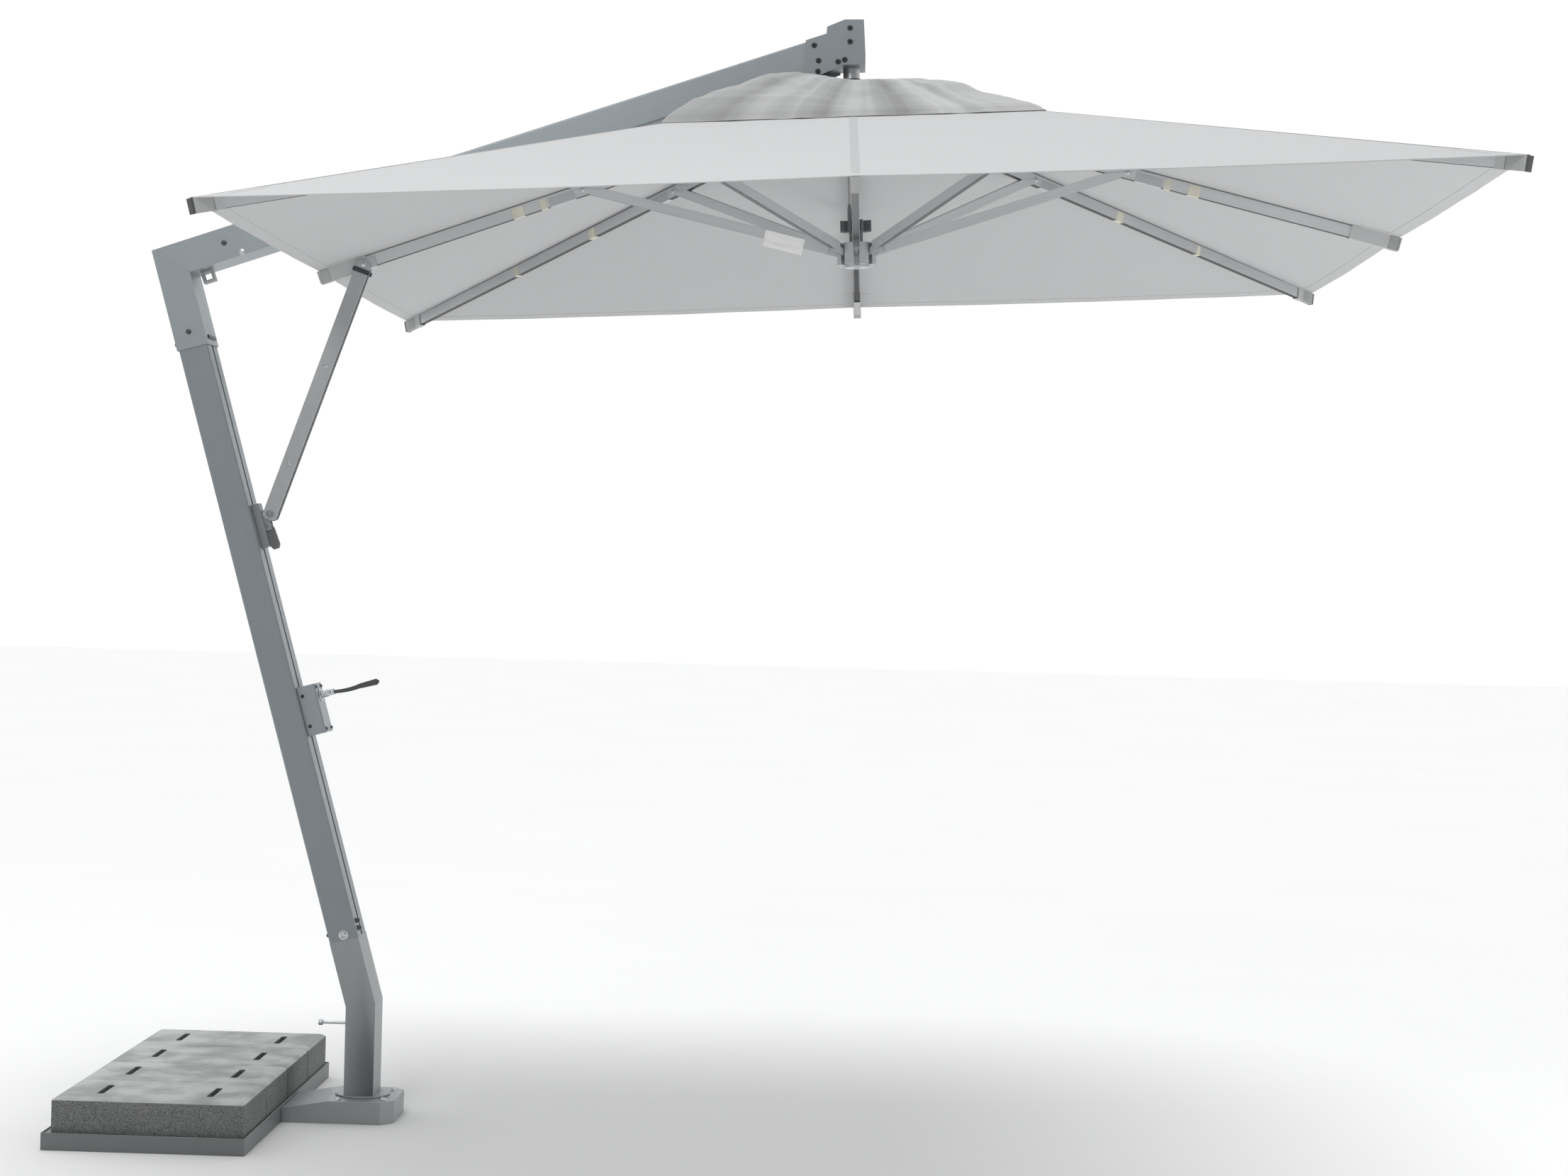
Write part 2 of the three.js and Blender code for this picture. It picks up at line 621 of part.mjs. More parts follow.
const saddleRadius = 1369;

function braceSaddle() {
  const { slope } = linkage(0);
  const x = (saddleRadius - canopy.pivotRadius) / Math.cos(slope);
  const [w, h] = [rib.width / 2 + GAP, rib.height / 2 + GAP];
  const shell = block(x - 28, x + 28, -12.5, 12.5, -h - 4, 9);
  return cut(shell, block(x - 30, x + 30, -w, w, -h, 20));
}

// ---- cloth ----
// Height of the rib pyramid over a point of the canopy plan, and of the cloth above it.
const peak = (canopy.hubHeight * canopy.half) / (canopy.half - canopy.pivotRadius);
const clothHeight = (x, y) => peak * (1 - Math.max(Math.abs(x), Math.abs(y)) / canopy.half)
  + canopy.clothClearance;

// One panel lies over one rib, from the middle of one bay to the middle of the next.
function canopyPanel(k) {
  const [inner, outer, edge] = [canopy.ventHalf, canopy.half, GAP];
  const plan = isCorner(k)
    ? [[inner, inner / 2 + edge], [outer, outer / 2 + edge], [outer, outer],
      [outer / 2 + edge, outer], [inner / 2 + edge, inner], [inner, inner]]
    : [[inner, edge - inner / 2], [outer, edge - outer / 2], [outer, outer / 2 - edge],
      [inner, inner / 2 - edge]];
  const faces = isCorner(k) ? [[0, 1, 2], [0, 2, 5], [5, 2, 3], [5, 3, 4]] : [[0, 1, 2], [0, 2, 3]];
  const quarter = Math.floor(k / 2) * (Math.PI / 2);
  const points = plan.map(([x, y]) => [x, y, clothHeight(x, y)]);
  return sheet(points, faces, canopy.clothThickness).rotateZ(quarter);
}

function ventCap() {
  const levels = [[500, clothHeight(500, 0) + 14], [330, clothHeight(330, 0) + 42],
    [170, clothHeight(170, 0) + 78], [26, 508]];
  const points = levels.flatMap(([h, z]) => [[h, -h, z], [h, h, z], [-h, h, z], [-h, -h, z]]);
  const faces = [];
  for (let ring = 0; ring < levels.length - 1; ring += 1) {
    for (let side = 0; side < 4; side += 1) {
      const next = (side + 1) % 4;
      const [a, b] = [ring * 4 + side, ring * 4 + next];
      faces.push([a, b, b + 4], [a, b + 4, a + 4]);
    }
  }
  return sheet(points, faces, canopy.clothThickness);
}

// ---- assembly ----
part('base_tray', baseTray(), steel());
for (let row = 0; row < slab.count; row += 1) {
  part(`ballast_slab_${row + 1}`, ballastSlab(row), concrete());
}
part('foot_bracket', footBracket(), steel());
part('swivel_post', swivelPost(), steel());
part('swivel_ring', swivelRing(), steel());
part('swivel_bush_lower', swivelBush(76, 106), nylon());
part('swivel_bush_upper', swivelBush(190, 220), nylon());
part('swivel_lock_pin', swivelLockPin(), zinc());
part('mast_foot', mastFoot(), steel());
part('mast_profile', mastProfile(), aluminium(), mastFrame);
part('elbow_bracket', elbowBracket(), aluminium(), mastFrame);
part('elbow_clip', elbowClip(), nylon(), boomFrame);
part('boom_profile', boomProfile(), aluminium(), boomFrame);
part('boom_head', boomHead(), aluminium());
part('head_shaft', headShaft(), aluminium(), canopyFrame);
part('top_hub', topHub(), aluminium(), canopyFrame);
part('lower_hub', lowerHub(), aluminium(), canopyFrame);
part('hoist_yoke', hoistYoke(), steel(), canopyFrame);
part('elbow_sheave', sheave().translate(elbowSheave.x, 0, elbowSheave.z), nylon(), boomFrame);
part('head_sheave', sheave().translate(headSheave.x, 0, headSheave.z), nylon(), boomFrame);
part('hoist_rope', hoistRope(), cordFibre());
part('winch_housing', winchHousing(), aluminium(), mastFrame);
part('winch_cover', winchCover(), aluminium(), mastFrame);
part('winch_drum', winchDrum(), nylon(), mastFrame);
part('crank_shaft', crankShaft(), zinc(), mastFrame);
part('crank_boss', crankBoss(), zinc(), mastFrame);
part('crank_handle', crankHandle(), zinc(), mastFrame);
part('crank_grip', crankGrip(), blackPlastic(), mastFrame);
part('brace_carriage', braceCarriage(), zinc(), mastFrame);
part('carriage_lever', carriageLever(), blackPlastic(), mastFrame);
part('wind_brace', windBrace(), aluminium(), braceFrame);
for (let k = 0; k < armCount; k += 1) {
  const { slope, strutSlope } = linkage(k);
  const ribFrame = armFrame(k, canopy.hubHeight, slope);
  part(`rib_${k + 1}`, ribArm(k), aluminium(), ribFrame);
  if (k === armCount / 2) part('brace_saddle', braceSaddle(), aluminium(), ribFrame);
  part(`strut_${k + 1}`, strutArm(k), aluminium(), armFrame(k, canopy.lowerHubHeight, -strutSlope));
  part(`canopy_panel_${k + 1}`, canopyPanel(k), cloth(), canopyFrame);
}
part('vent_cap', ventCap(), cloth(), canopyFrame);

export default parasol;
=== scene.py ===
import json
import math

import bmesh
import bpy
from mathutils import Matrix, Vector, noise


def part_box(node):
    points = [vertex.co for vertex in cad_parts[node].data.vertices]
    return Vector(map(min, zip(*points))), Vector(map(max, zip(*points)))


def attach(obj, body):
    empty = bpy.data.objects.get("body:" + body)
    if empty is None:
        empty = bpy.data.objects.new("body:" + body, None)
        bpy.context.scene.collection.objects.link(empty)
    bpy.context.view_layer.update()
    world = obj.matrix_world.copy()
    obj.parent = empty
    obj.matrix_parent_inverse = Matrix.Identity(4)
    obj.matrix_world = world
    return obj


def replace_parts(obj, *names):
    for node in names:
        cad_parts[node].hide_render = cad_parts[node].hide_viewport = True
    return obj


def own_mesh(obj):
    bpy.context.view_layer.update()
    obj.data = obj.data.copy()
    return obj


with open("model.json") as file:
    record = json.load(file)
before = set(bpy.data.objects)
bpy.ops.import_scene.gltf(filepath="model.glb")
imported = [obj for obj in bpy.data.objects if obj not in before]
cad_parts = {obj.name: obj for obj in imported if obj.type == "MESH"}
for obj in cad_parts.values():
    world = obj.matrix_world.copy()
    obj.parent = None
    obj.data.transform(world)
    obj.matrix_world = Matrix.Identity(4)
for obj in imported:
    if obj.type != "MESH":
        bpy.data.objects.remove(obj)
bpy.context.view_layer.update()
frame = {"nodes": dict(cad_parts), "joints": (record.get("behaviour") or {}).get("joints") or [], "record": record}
JOINTS = {joint["name"]: joint for joint in frame["joints"]}
MM = 0.001
UP = Vector((0, 0, 1))
ACROSS = Vector((0, 1, 0))

# ---- places, all worked out from the frame's joints ----


def joint_point(name):
    return Vector(JOINTS[name]["pos_m"])


def joint_axis(name):
    return Vector(JOINTS[name]["axis"]).normalized()


def frame_of(x_axis, z_axis, origin):
    """A matrix whose columns are the axes and the origin. Y runs across the parasol."""
    columns = [x_axis, ACROSS, z_axis, origin]
    return Matrix([[column[row] for column in columns] for row in range(3)] + [[0, 0, 0, 1]])


HUB_RADIUS = 0.050  # of both rings of pivots
CRANK_ALONG = 0.863  # the crank's distance along the mast from its bend

mast_up = joint_axis("carriage_slide")
mast_out = joint_axis("crank_turn")
MAST = frame_of(mast_out, mast_up, joint_point("crank_turn") - CRANK_ALONG * mast_up)

canopy_up = (joint_point("canopy_fold") - joint_point("hub_level")).normalized()
canopy_out = ACROSS.cross(canopy_up)
HUB_HEIGHT = 0.432  # of the upper pivots above the rib tips
CANOPY = frame_of(canopy_out, canopy_up,
                  joint_point("canopy_fold") - HUB_RADIUS * canopy_out - HUB_HEIGHT * canopy_up)
LOWER_HUB = (joint_point("hub_level") - CANOPY.translation).dot(canopy_up)

SHEAVE_BELOW = 0.0518  # the sheaves' centres below the boom's top face
boom_out = (joint_point("head_sheave_turn") - joint_point("elbow_sheave_turn")).normalized()
boom_up = boom_out.cross(ACROSS)
BOOM = frame_of(boom_out, boom_up, joint_point("elbow_sheave_turn") + SHEAVE_BELOW * boom_up)

BRACE_LEAN = math.radians(19.2)  # off the vertical, towards the canopy
BRACE = frame_of(Vector((math.cos(BRACE_LEAN), 0, -math.sin(BRACE_LEAN))),
                 Vector((math.sin(BRACE_LEAN), 0, math.cos(BRACE_LEAN))),
                 joint_point("brace_swing"))

HALF = 1.5  # half the canopy's side
ARMS = range(8)


def corner(k):
    return k % 2 == 1


def rib_place(k):
    """The rib's own frame: x along the rib from its pivot, z upwards across it."""
    tip = HALF * (math.sqrt(2) if corner(k) else 1)
    slope = math.atan2(HUB_HEIGHT, tip - HUB_RADIUS)
    turn = Matrix.Rotation(k * math.pi / 4, 4, "Z")
    pivot = Matrix.Translation((HUB_RADIUS, 0, HUB_HEIGHT))
    return CANOPY @ turn @ pivot @ Matrix.Rotation(slope, 4, "Y")


def rib_length(k):
    tip = HALF * (math.sqrt(2) if corner(k) else 1)
    return math.hypot(HUB_HEIGHT, tip - HUB_RADIUS)


def strut_place(k):
    """The strut's own frame: x along it from the lower hub to the rib."""
    turn = Matrix.Rotation(k * math.pi / 4, 4, "Z")
    low = CANOPY @ turn @ Vector((HUB_RADIUS, 0, LOWER_HUB))
    along = (joint_point(f"strut_{k + 1}_fold") - low).normalized()
    side = (CANOPY @ turn).to_3x3() @ ACROSS
    upward = along.cross(side)
    columns = [along, side, upward, low]
    return Matrix([[column[row] for column in columns] for row in range(3)] + [[0, 0, 0, 1]])


def aim(place, point, direction):
    """A matrix at a point of a frame, with its z along a direction of that frame."""
    spin = place.to_3x3() @ Vector(direction)
    at = place @ Vector(point)
    return Matrix.Translation(at) @ spin.to_track_quat("Z", "Y").to_matrix().to_4x4()


# ---- materials ----


class Paint:
    """A Principled material, with short ways to add its procedural detail."""

    def __init__(self, name, roughness, metallic=0.0):
        self.material = bpy.data.materials.new(name)
        self.material.use_nodes = True
        self.tree = self.material.node_tree
        self.shader = self.tree.nodes["Principled BSDF"]
        self.shader.inputs["Roughness"].default_value = roughness
        self.shader.inputs["Metallic"].default_value = metallic
        coordinates = self.add("ShaderNodeTexCoord").outputs
        self.at = coordinates["Object"]
        self.normal = coordinates["Normal"]
        self.relief = None

    def add(self, kind, **inputs):
        node = self.tree.nodes.new(kind)
        for name, value in inputs.items():
            self.put(value, node.inputs[name.replace("_", " ")])
        return node

    def put(self, value, socket):
        if isinstance(value, bpy.types.NodeSocket):
            self.tree.links.new(value, socket)
        else:
            socket.default_value = value

    def turned(self, place):
        """Coordinates in a part's own frame, so that a grain can follow its length."""
        turn = place.to_3x3().inverted().to_euler()
        return self.add("ShaderNodeMapping", Vector=self.at, Rotation=turn).outputs[0]

    def stretched(self, scale, at=None):
        return self.add("ShaderNodeMapping", Vector=at or self.at, Scale=scale).outputs[0]

    def noise(self, scale, detail=3.0, at=None):
        node = self.add("ShaderNodeTexNoise", Vector=at or self.at, Scale=scale, Detail=detail)
        return node.outputs[0]

    def cells(self, scale):
        return self.add("ShaderNodeTexVoronoi", Vector=self.at, Scale=scale).outputs["Distance"]

    def spread(self, value, low, high, start=0.0, end=1.0):
        """Maps value from start..end to low..high."""
        node = self.add("ShaderNodeMapRange", Value=value, From_Min=start, From_Max=end,
                        To_Min=low, To_Max=high)
        return node.outputs[0]

    def times(self, a, b):
        node = self.tree.nodes.new("ShaderNodeMath")
        node.operation = "MULTIPLY"
        self.put(a, node.inputs[0])
        self.put(b, node.inputs[1])
        return node.outputs[0]

    def vector(self, operation, *values):
        node = self.tree.nodes.new("ShaderNodeVectorMath")
        node.operation = operation
        for value, socket in zip(values, node.inputs):
            self.put(value, socket)
        return node.outputs["Value" if operation == "DOT_PRODUCT" else "Vector"]

    def blend(self, share, dark, light):
        node = self.tree.nodes.new("ShaderNodeMix")
        node.data_type = "RGBA"
        for value, index in ((share, 0), (dark, 6), (light, 7)):
            if isinstance(value, tuple):
                value = (*value, 1.0)
            self.put(value, node.inputs[index])
        return node.outputs[2]

    def colour(self, value):
        self.put(value, self.shader.inputs["Base Color"])

    def roughen(self, value):
        self.put(value, self.shader.inputs["Roughness"])

    def emboss(self, height, strength, distance):
        """Adds a bump on top of those made before."""
        node = self.add("ShaderNodeBump", Height=height, Strength=strength, Distance=distance)
        if self.relief:
            self.put(self.relief, node.inputs["Normal"])
        self.relief = node.outputs[0]
        self.put(self.relief, self.shader.inputs["Normal"])


def shades(colour, dark, light=1.0):
    return tuple(c * dark for c in colour), tuple(c * light for c in colour)


def drawn_metal(name, place, colour, roughness, metallic, underside_shade=1.0):
    """A drawn profile: faint lines along its length, cloudy patches and a fine grain. With an underside shade
    below 1, faces that point down are painted darker as painted shade.
    """
    paint = Paint(name, roughness, metallic)
    lines = paint.noise(1.0, 4.0, paint.stretched((1.5, 420, 420), paint.turned(place)))
    clouds = paint.noise(2.2, 4.0)
    tone = paint.times(paint.spread(clouds, 0.75, 1.0), paint.spread(lines, 0.8, 1.0))
    # Painted shade: faces that point down in the part's frame are darkened towards the underside share, and the
    # tone then runs down to a far darker colour.
    if underside_shade < 1:
        upward = paint.vector("DOT_PRODUCT", paint.normal, place.to_3x3() @ UP)
        tone = paint.times(tone, paint.spread(upward, underside_shade, 1.0, -0.85, -0.5))
        paint.colour(paint.blend(tone, *shades(colour, 0.12, 1.12)))
    else:
        paint.colour(paint.blend(tone, *shades(colour, 0.72, 1.12)))
    paint.roughen(paint.spread(paint.noise(35.0), roughness - 0.07, roughness + 0.09))
    paint.emboss(lines, 0.12, 0.4 * MM)
    paint.emboss(paint.noise(900.0, 2.0), 0.10, 0.2 * MM)
    return paint.material


def powder_coat(name, colour, roughness, metallic):
    """Baked paint over steel or castings, with an orange-peel surface and dusty patches."""
    paint = Paint(name, roughness, metallic)
    dust = paint.noise(6.0, 6.0)
    grain = paint.noise(650.0, 2.0)
    tone = paint.times(paint.spread(dust, 0.7, 1.0), paint.spread(grain, 0.8, 1.0))
    paint.colour(paint.blend(tone, *shades(colour, 0.68, 1.14)))
    paint.roughen(paint.spread(dust, roughness - 0.08, roughness + 0.12))
    paint.emboss(paint.noise(260.0, 2.0), 0.22, 0.35 * MM)
    paint.shader.inputs["Coat Weight"].default_value = 0.12
    return paint.material


def plated_steel(name, colour, roughness):
    paint = Paint(name, roughness, 0.9)
    spangle = paint.cells(160.0)
    tone = paint.times(paint.spread(spangle, 0.75, 1.0), paint.spread(paint.noise(18.0), 0.6, 1.0))
    paint.colour(paint.blend(tone, *shades(colour, 0.7, 1.1)))
    paint.roughen(paint.spread(paint.noise(70.0), roughness - 0.08, roughness + 0.14))
    paint.emboss(paint.noise(500.0, 3.0), 0.12, 0.2 * MM)
    return paint.material


def moulded_plastic(name, colour, roughness=0.5):
    paint = Paint(name, roughness)
    paint.colour(paint.blend(paint.noise(9.0, 5.0), *shades(colour, 0.7, 1.5)))
    paint.roughen(paint.spread(paint.noise(60.0), roughness - 0.1, roughness + 0.12))
    paint.emboss(paint.cells(900.0), 0.25, 0.15 * MM)
    return paint.material


def cast_concrete():
    """Slab concrete: a trowelled top, and sides that show dark and light stones. The sides' colour is much darker
    than the top's, partly their own colour and partly painted shade.
    """
    paint = Paint("cast_concrete", 0.92)
    clouds = paint.noise(7.0, 6.0)
    base = paint.blend(clouds, (0.13, 0.135, 0.135), (0.22, 0.225, 0.22))
    stones = paint.spread(paint.cells(170.0), 0.0, 1.0, 0.12, 0.45)
    speckled = paint.blend(stones, (0.06, 0.063, 0.063), base)
    lights = paint.spread(paint.noise(240.0, 2.0), 0.0, 0.6, 0.62, 0.72)
    sides = paint.blend(lights, speckled, (0.42, 0.43, 0.42))
    # Partly painted shade: faces that do not point up get the much darker side colour.
    normal = paint.add("ShaderNodeNewGeometry").outputs["Normal"]
    upward = paint.add("ShaderNodeSeparateXYZ", Vector=normal).outputs["Z"]
    stains = paint.times(paint.spread(paint.noise(9.0, 8.0), 0.0, 1.0, 0.38, 0.60),
                         paint.spread(paint.noise(120.0, 5.0), 0.6, 1.0))
    top = paint.blend(stains, (0.33, 0.34, 0.335), (0.56, 0.57, 0.56))
    paint.colour(paint.blend(paint.spread(upward, 0.0, 0.9, 0.5, 0.85), sides, top))
    paint.emboss(paint.noise(55.0, 6.0), 0.5, 1.6 * MM)
    paint.emboss(stones, 0.55, 0.7 * MM)
    return paint.material


def radial_fold_shading(paint, plain, colour):
    """Darker and brighter bands that run out from the crown, painted into the cloth's colour as the shade and
    highlight of light through its folds.
    """
    centre = paint.vector("SUBTRACT", paint.at, tuple(CANOPY.translation))
    flat = paint.vector("MULTIPLY", centre, (1.0, 1.0, 0.0))
    outward = paint.vector("NORMALIZE", flat)
    # Painted shade: darker bands running out from the crown.
    fold_shade_bands = paint.spread(paint.noise(3.2, 4.0, outward), 0.0, 1.0, 0.36, 0.60)
    dark = paint.blend(fold_shade_bands, shades(colour, 0.55)[0], plain)
    # Painted highlight: thin brighter bands.
    fold_highlights = paint.spread(paint.noise(7.0, 3.0, outward), 0.0, 0.8, 0.60, 0.72)
    return paint.blend(fold_highlights, dark, shades(colour, 1.35)[0])


WEAVE = 2 * math.pi / (1.7 * MM) / 20  # wave texture scale for threads 1.7 mm apart


def woven_cloth(name, colour, glow, fold_shading=False):
    """Awning cloth: a plain weave, a soft sheen, and light that comes through from above."""
    paint = Paint(name, 0.85)
    at = paint.turned(CANOPY)
    threads = []
    for direction in ("X", "Y"):
        node = paint.add("ShaderNodeTexWave", Vector=at, Scale=WEAVE, Distortion=0.6)
        node.bands_direction = direction
        threads.append(node.outputs["Fac"])
    weave = paint.times(*threads)
    slubs = paint.noise(1.0, 3.0, paint.stretched((240, 30, 60), at))
    clouds = paint.noise(1.6, 3.0)
    tone = paint.times(paint.spread(clouds, 0.9, 1.0), paint.spread(slubs, 0.86, 1.0))
    tinted = paint.blend(tone, *shades(colour, 0.86, 1.04))
    # The vent's cloth gets painted fold shade and highlight.
    if fold_shading:
        tinted = radial_fold_shading(paint, tinted, colour)
    paint.colour(tinted)
    paint.emboss(weave, 0.22, 0.25 * MM)
    paint.emboss(paint.noise(28.0, 4.0), 0.10, 1.5 * MM)
    paint.shader.inputs["Sheen Weight"].default_value = 0.15
    through = paint.add("ShaderNodeBsdfTranslucent", Color=tinted)
    mix = paint.add("ShaderNodeMixShader", Fac=glow)
    paint.put(paint.shader.outputs[0], mix.inputs[1])
    paint.put(through.outputs[0], mix.inputs[2])
    paint.put(mix.outputs[0], paint.tree.nodes["Material Output"].inputs["Surface"])
    return paint.material


def braided_cord():
    paint = Paint("braided_cord", 0.8)
    at = paint.turned(CANOPY @ Matrix.Rotation(math.pi / 4, 4, "Y"))
    node = paint.add("ShaderNodeTexWave", Vector=at, Scale=60.0, Distortion=1.5)
    paint.colour(paint.blend(node.outputs["Fac"], (0.20, 0.20, 0.195), (0.42, 0.42, 0.41)))
    paint.emboss(node.outputs["Fac"], 0.6, 0.5 * MM)
    return paint.material


def paper():
    paint = Paint("paper", 0.6)
    paint.colour(paint.blend(paint.noise(60.0, 4.0), (0.86, 0.86, 0.85), (0.93, 0.93, 0.92)))
    paint.emboss(paint.noise(300.0), 0.1, 0.1 * MM)
    return paint.material


GREY = (0.285, 0.315, 0.33)
SILVER = (0.66, 0.67, 0.68)
STEEL_GREY = (0.30, 0.315, 0.32)
COATED = powder_coat("coated_casting", GREY, 0.42, 0.45)
PAINTED = powder_coat("painted_steel", STEEL_GREY, 0.45, 0.3)
# The tray's paint is a darker copy of the painted steel, as painted shade on the tray.
TRAY_PAINT = powder_coat("tray_paint", (0.175, 0.18, 0.183), 0.5, 0.2)
YOKE_PAINT = powder_coat("yoke_paint", (0.15, 0.155, 0.16), 0.42, 0.3)
LEVER_PAINT = moulded_plastic("lever_plastic", (0.115, 0.112, 0.112))
CARRIAGE_PAINT = powder_coat("carriage_casting", (0.25, 0.26, 0.27), 0.4, 0.4)
SILVERED = powder_coat("silver_casting", (0.50, 0.51, 0.52), 0.36, 0.75)
ZINC = plated_steel("zinc_plate", (0.62, 0.63, 0.65), 0.32)
DARK_STEEL = plated_steel("dark_steel", (0.10, 0.105, 0.11), 0.42)
BLACK = moulded_plastic("black_plastic", (0.028, 0.029, 0.031))
NYLON = moulded_plastic("natural_nylon", (0.58, 0.56, 0.47), 0.45)
CONCRETE = cast_concrete()
CLOTH_PAINT = woven_cloth("canopy_cloth", (0.52, 0.524, 0.528), 0.08)
HEM = woven_cloth("hem_cloth", (0.52, 0.524, 0.528), 0.08)
VENT = woven_cloth("vent_cloth", (0.46, 0.463, 0.465), 0.08, fold_shading=True)
TAPE = woven_cloth("seam_tape", (0.43, 0.434, 0.438), 0.06)
DARK_GREY = moulded_plastic("dark_grey_plastic", (0.055, 0.057, 0.06))
LIGHT_GREY = moulded_plastic("light_grey_plastic", (0.34, 0.345, 0.345))
CORD = braided_cord()
PAPER = paper()
BY_SLOT = {"aluminium": COATED, "silver_aluminium": SILVERED, "painted_steel": PAINTED,
           "zinc": ZINC, "black_plastic": BLACK, "nylon": NYLON, "concrete": CONCRETE,
           "canopy_fabric": CLOTH_PAINT, "rope": CORD, "paper": PAPER}


# ---- shapes ----


class Shape:
    """Collects closed solids into one mesh, in the parasol's frame."""

    def __init__(self):
        self.bm = bmesh.new()

    def rings(self, loops, closed=False):
        """Skins a tube over loops of points, with flat ends unless it closes on itself."""
        made = [[self.bm.verts.new(point) for point in loop] for loop in loops]
        pairs = list(zip(made, made[1:])) + ([(made[-1], made[0])] if closed else [])
        count = len(made[0])
        for low, high in pairs:
            for i in range(count):
                j = (i + 1) % count
                self.bm.faces.new((low[i], low[j], high[j], high[i]))
        if not closed:
            self.bm.faces.new(made[0][::-1])
            self.bm.faces.new(made[-1])

    def turn(self, place, profile, sides=28, closed=False):
        """Turns a profile of (radius, height) round a matrix's z. An open one ends near it."""
        loops = []
        for radius, height in profile:
            around = [2 * math.pi * i / sides for i in range(sides)]
            loops.append([place @ Vector((radius * math.cos(a), radius * math.sin(a), height))
                          for a in around])
        self.rings(loops, closed)

    def tube(self, points, radii, sides=16):
        """A round tube along points, each with its own radius."""
        points = [Vector(p) for p in points]
        loops = []
        for i, point in enumerate(points):
            along = (points[min(i + 1, len(points) - 1)] - points[max(i - 1, 0)]).normalized()
            side = along.cross(ACROSS)
            side = side.normalized() if side.length > 0.2 else along.cross(UP).normalized()
            other = along.cross(side)
            turns = [2 * math.pi * n / sides for n in range(sides)]
            loops.append([point + radii[i] * (math.cos(a) * side + math.sin(a) * other)
                          for a in turns])
        self.rings(loops)

    def prism(self, place, outline, low, high):
        """An outline of (x, z) in a matrix's frame, from y low to y high."""
        self.rings([[place @ Vector((x, y, z)) for x, z in outline] for y in (low, high)])

    def block(self, place, x, y, z):
        self.prism(place, [(x[0], z[0]), (x[1], z[0]), (x[1], z[1]), (x[0], z[1])], *y)

    def piece(self, name, body, slot, material, bevel=0.0):
        """Makes the mesh an object that rides a body and has a finish and a material."""
        bmesh.ops.recalc_face_normals(self.bm, faces=self.bm.faces)
        mesh = bpy.data.meshes.new(name)
        self.bm.to_mesh(mesh)
        self.bm.free()
        piece = bpy.data.objects.new(name, mesh)
        bpy.context.scene.collection.objects.link(piece)
        mesh.materials.append(material)
        for face in mesh.polygons:
            face.use_smooth = True
        round_edges(piece, bevel)
        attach(piece, body)
        return piece


def round_edges(piece, width, segments=2):
    """Rounds every edge sharper than 34 degrees and keeps the flat faces flat."""
    if width:
        bevel = piece.modifiers.new("edges", "BEVEL")
        bevel.width = width
        bevel.segments = segments
        bevel.limit_method = "ANGLE"
        bevel.angle_limit = math.radians(34)
    flat = piece.modifiers.new("flat_faces", "WEIGHTED_NORMAL")
    flat.keep_sharp = True
    flat.weight = 90


def rounded(outline, radius, steps=5):
    """Rounds each corner of a closed outline of (x, z) with an arc of about that radius."""
    made = []
    count = len(outline)
    for i, point in enumerate(outline):
        here = Vector(point)
        before = Vector(outline[i - 1]) - here
        after = Vector(outline[(i + 1) % count]) - here
        reach = min(radius, 0.45 * before.length, 0.45 * after.length)
        start = here + before.normalized() * reach
        end = here + after.normalized() * reach
        for n in range(steps + 1):
            t = n / steps
            made.append((1 - t) ** 2 * start + 2 * t * (1 - t) * here + t * t * end)
    return [(p.x, p.y) for p in made]


# ---- fasteners, gathered by the body that they are screwed to ----


def pan_head(shape, at, radius, height):
    """A pan head with a hexagon socket, on a flat washer."""
    socket = 0.55 * radius
    shape.turn(at, [(1.45 * radius, 0), (1.45 * radius, 0.9 * MM), (1.05 * radius, 1.2 * MM),
                    (1.02 * radius, 0.35 * height + 1.2 * MM), (0.8 * radius, 0.85 * height + MM),
                    (socket, height + MM), (0.9 * socket, 0.5 * height), (0.2 * MM, 0.4 * height)])


def hex_nut(shape, at, radius, height):
    """A nut on a washer, with a bolt's rounded end standing through it."""
    shape.turn(at, [(1.5 * radius, 0), (1.5 * radius, 1.2 * MM), (0.3 * radius, 1.2 * MM)], 28)
    shape.turn(at, [(0.9 * radius, MM), (radius, 1.6 * MM), (radius, height),
                    (0.85 * radius, height + 0.8 * MM), (0.3 * radius, height + 0.8 * MM)], 6)
    shape.turn(at, [(0.55 * radius, MM), (0.55 * radius, height + 2.4 * MM),
                    (0.4 * radius, height + 3.4 * MM), (0.1 * MM, height + 3.6 * MM)], 20)


def cap_nut(shape, at, radius, height):
    """A domed nut on a washer."""
    shape.turn(at, [(1.5 * radius, 0), (1.5 * radius, 1.2 * MM), (0.4 * radius, 1.2 * MM)])
    shape.turn(at, [(0.9 * radius, MM), (radius, 1.6 * MM), (radius, 0.5 * height),
                    (0.85 * radius, 0.55 * height)], 6)
    dome = [(0.82 * radius * math.cos(a), 0.55 * height + 0.45 * height * math.sin(a))
            for a in (math.radians(d) for d in range(0, 90, 15))]
    shape.turn(at, [(0.82 * radius, 0.3 * height), *dome, (0.1 * MM, height)])


def both_sides(place, x, y, z):
    """Two places on a tube's opposite faces, each facing outwards."""
    return [aim(place, (x, side * y, z), (0, side, 0)) for side in (-1, 1)]


WIDE_HALF = 0.061  # half the mast's and the boom's width
SLIM_HALF = 0.041  # half their depth
SLEEVE_SKIN = 0.0035  # from their faces to the outside of the cast sleeves around them
SLEEVE_HALF = WIDE_HALF + SLEEVE_SKIN
MAST_JOINT = 0.187  # where the profile meets the foot, along the mast
ELBOW = 2.171  # the mast's outer corner, along the mast
SLEEVE_END = ELBOW - 0.286


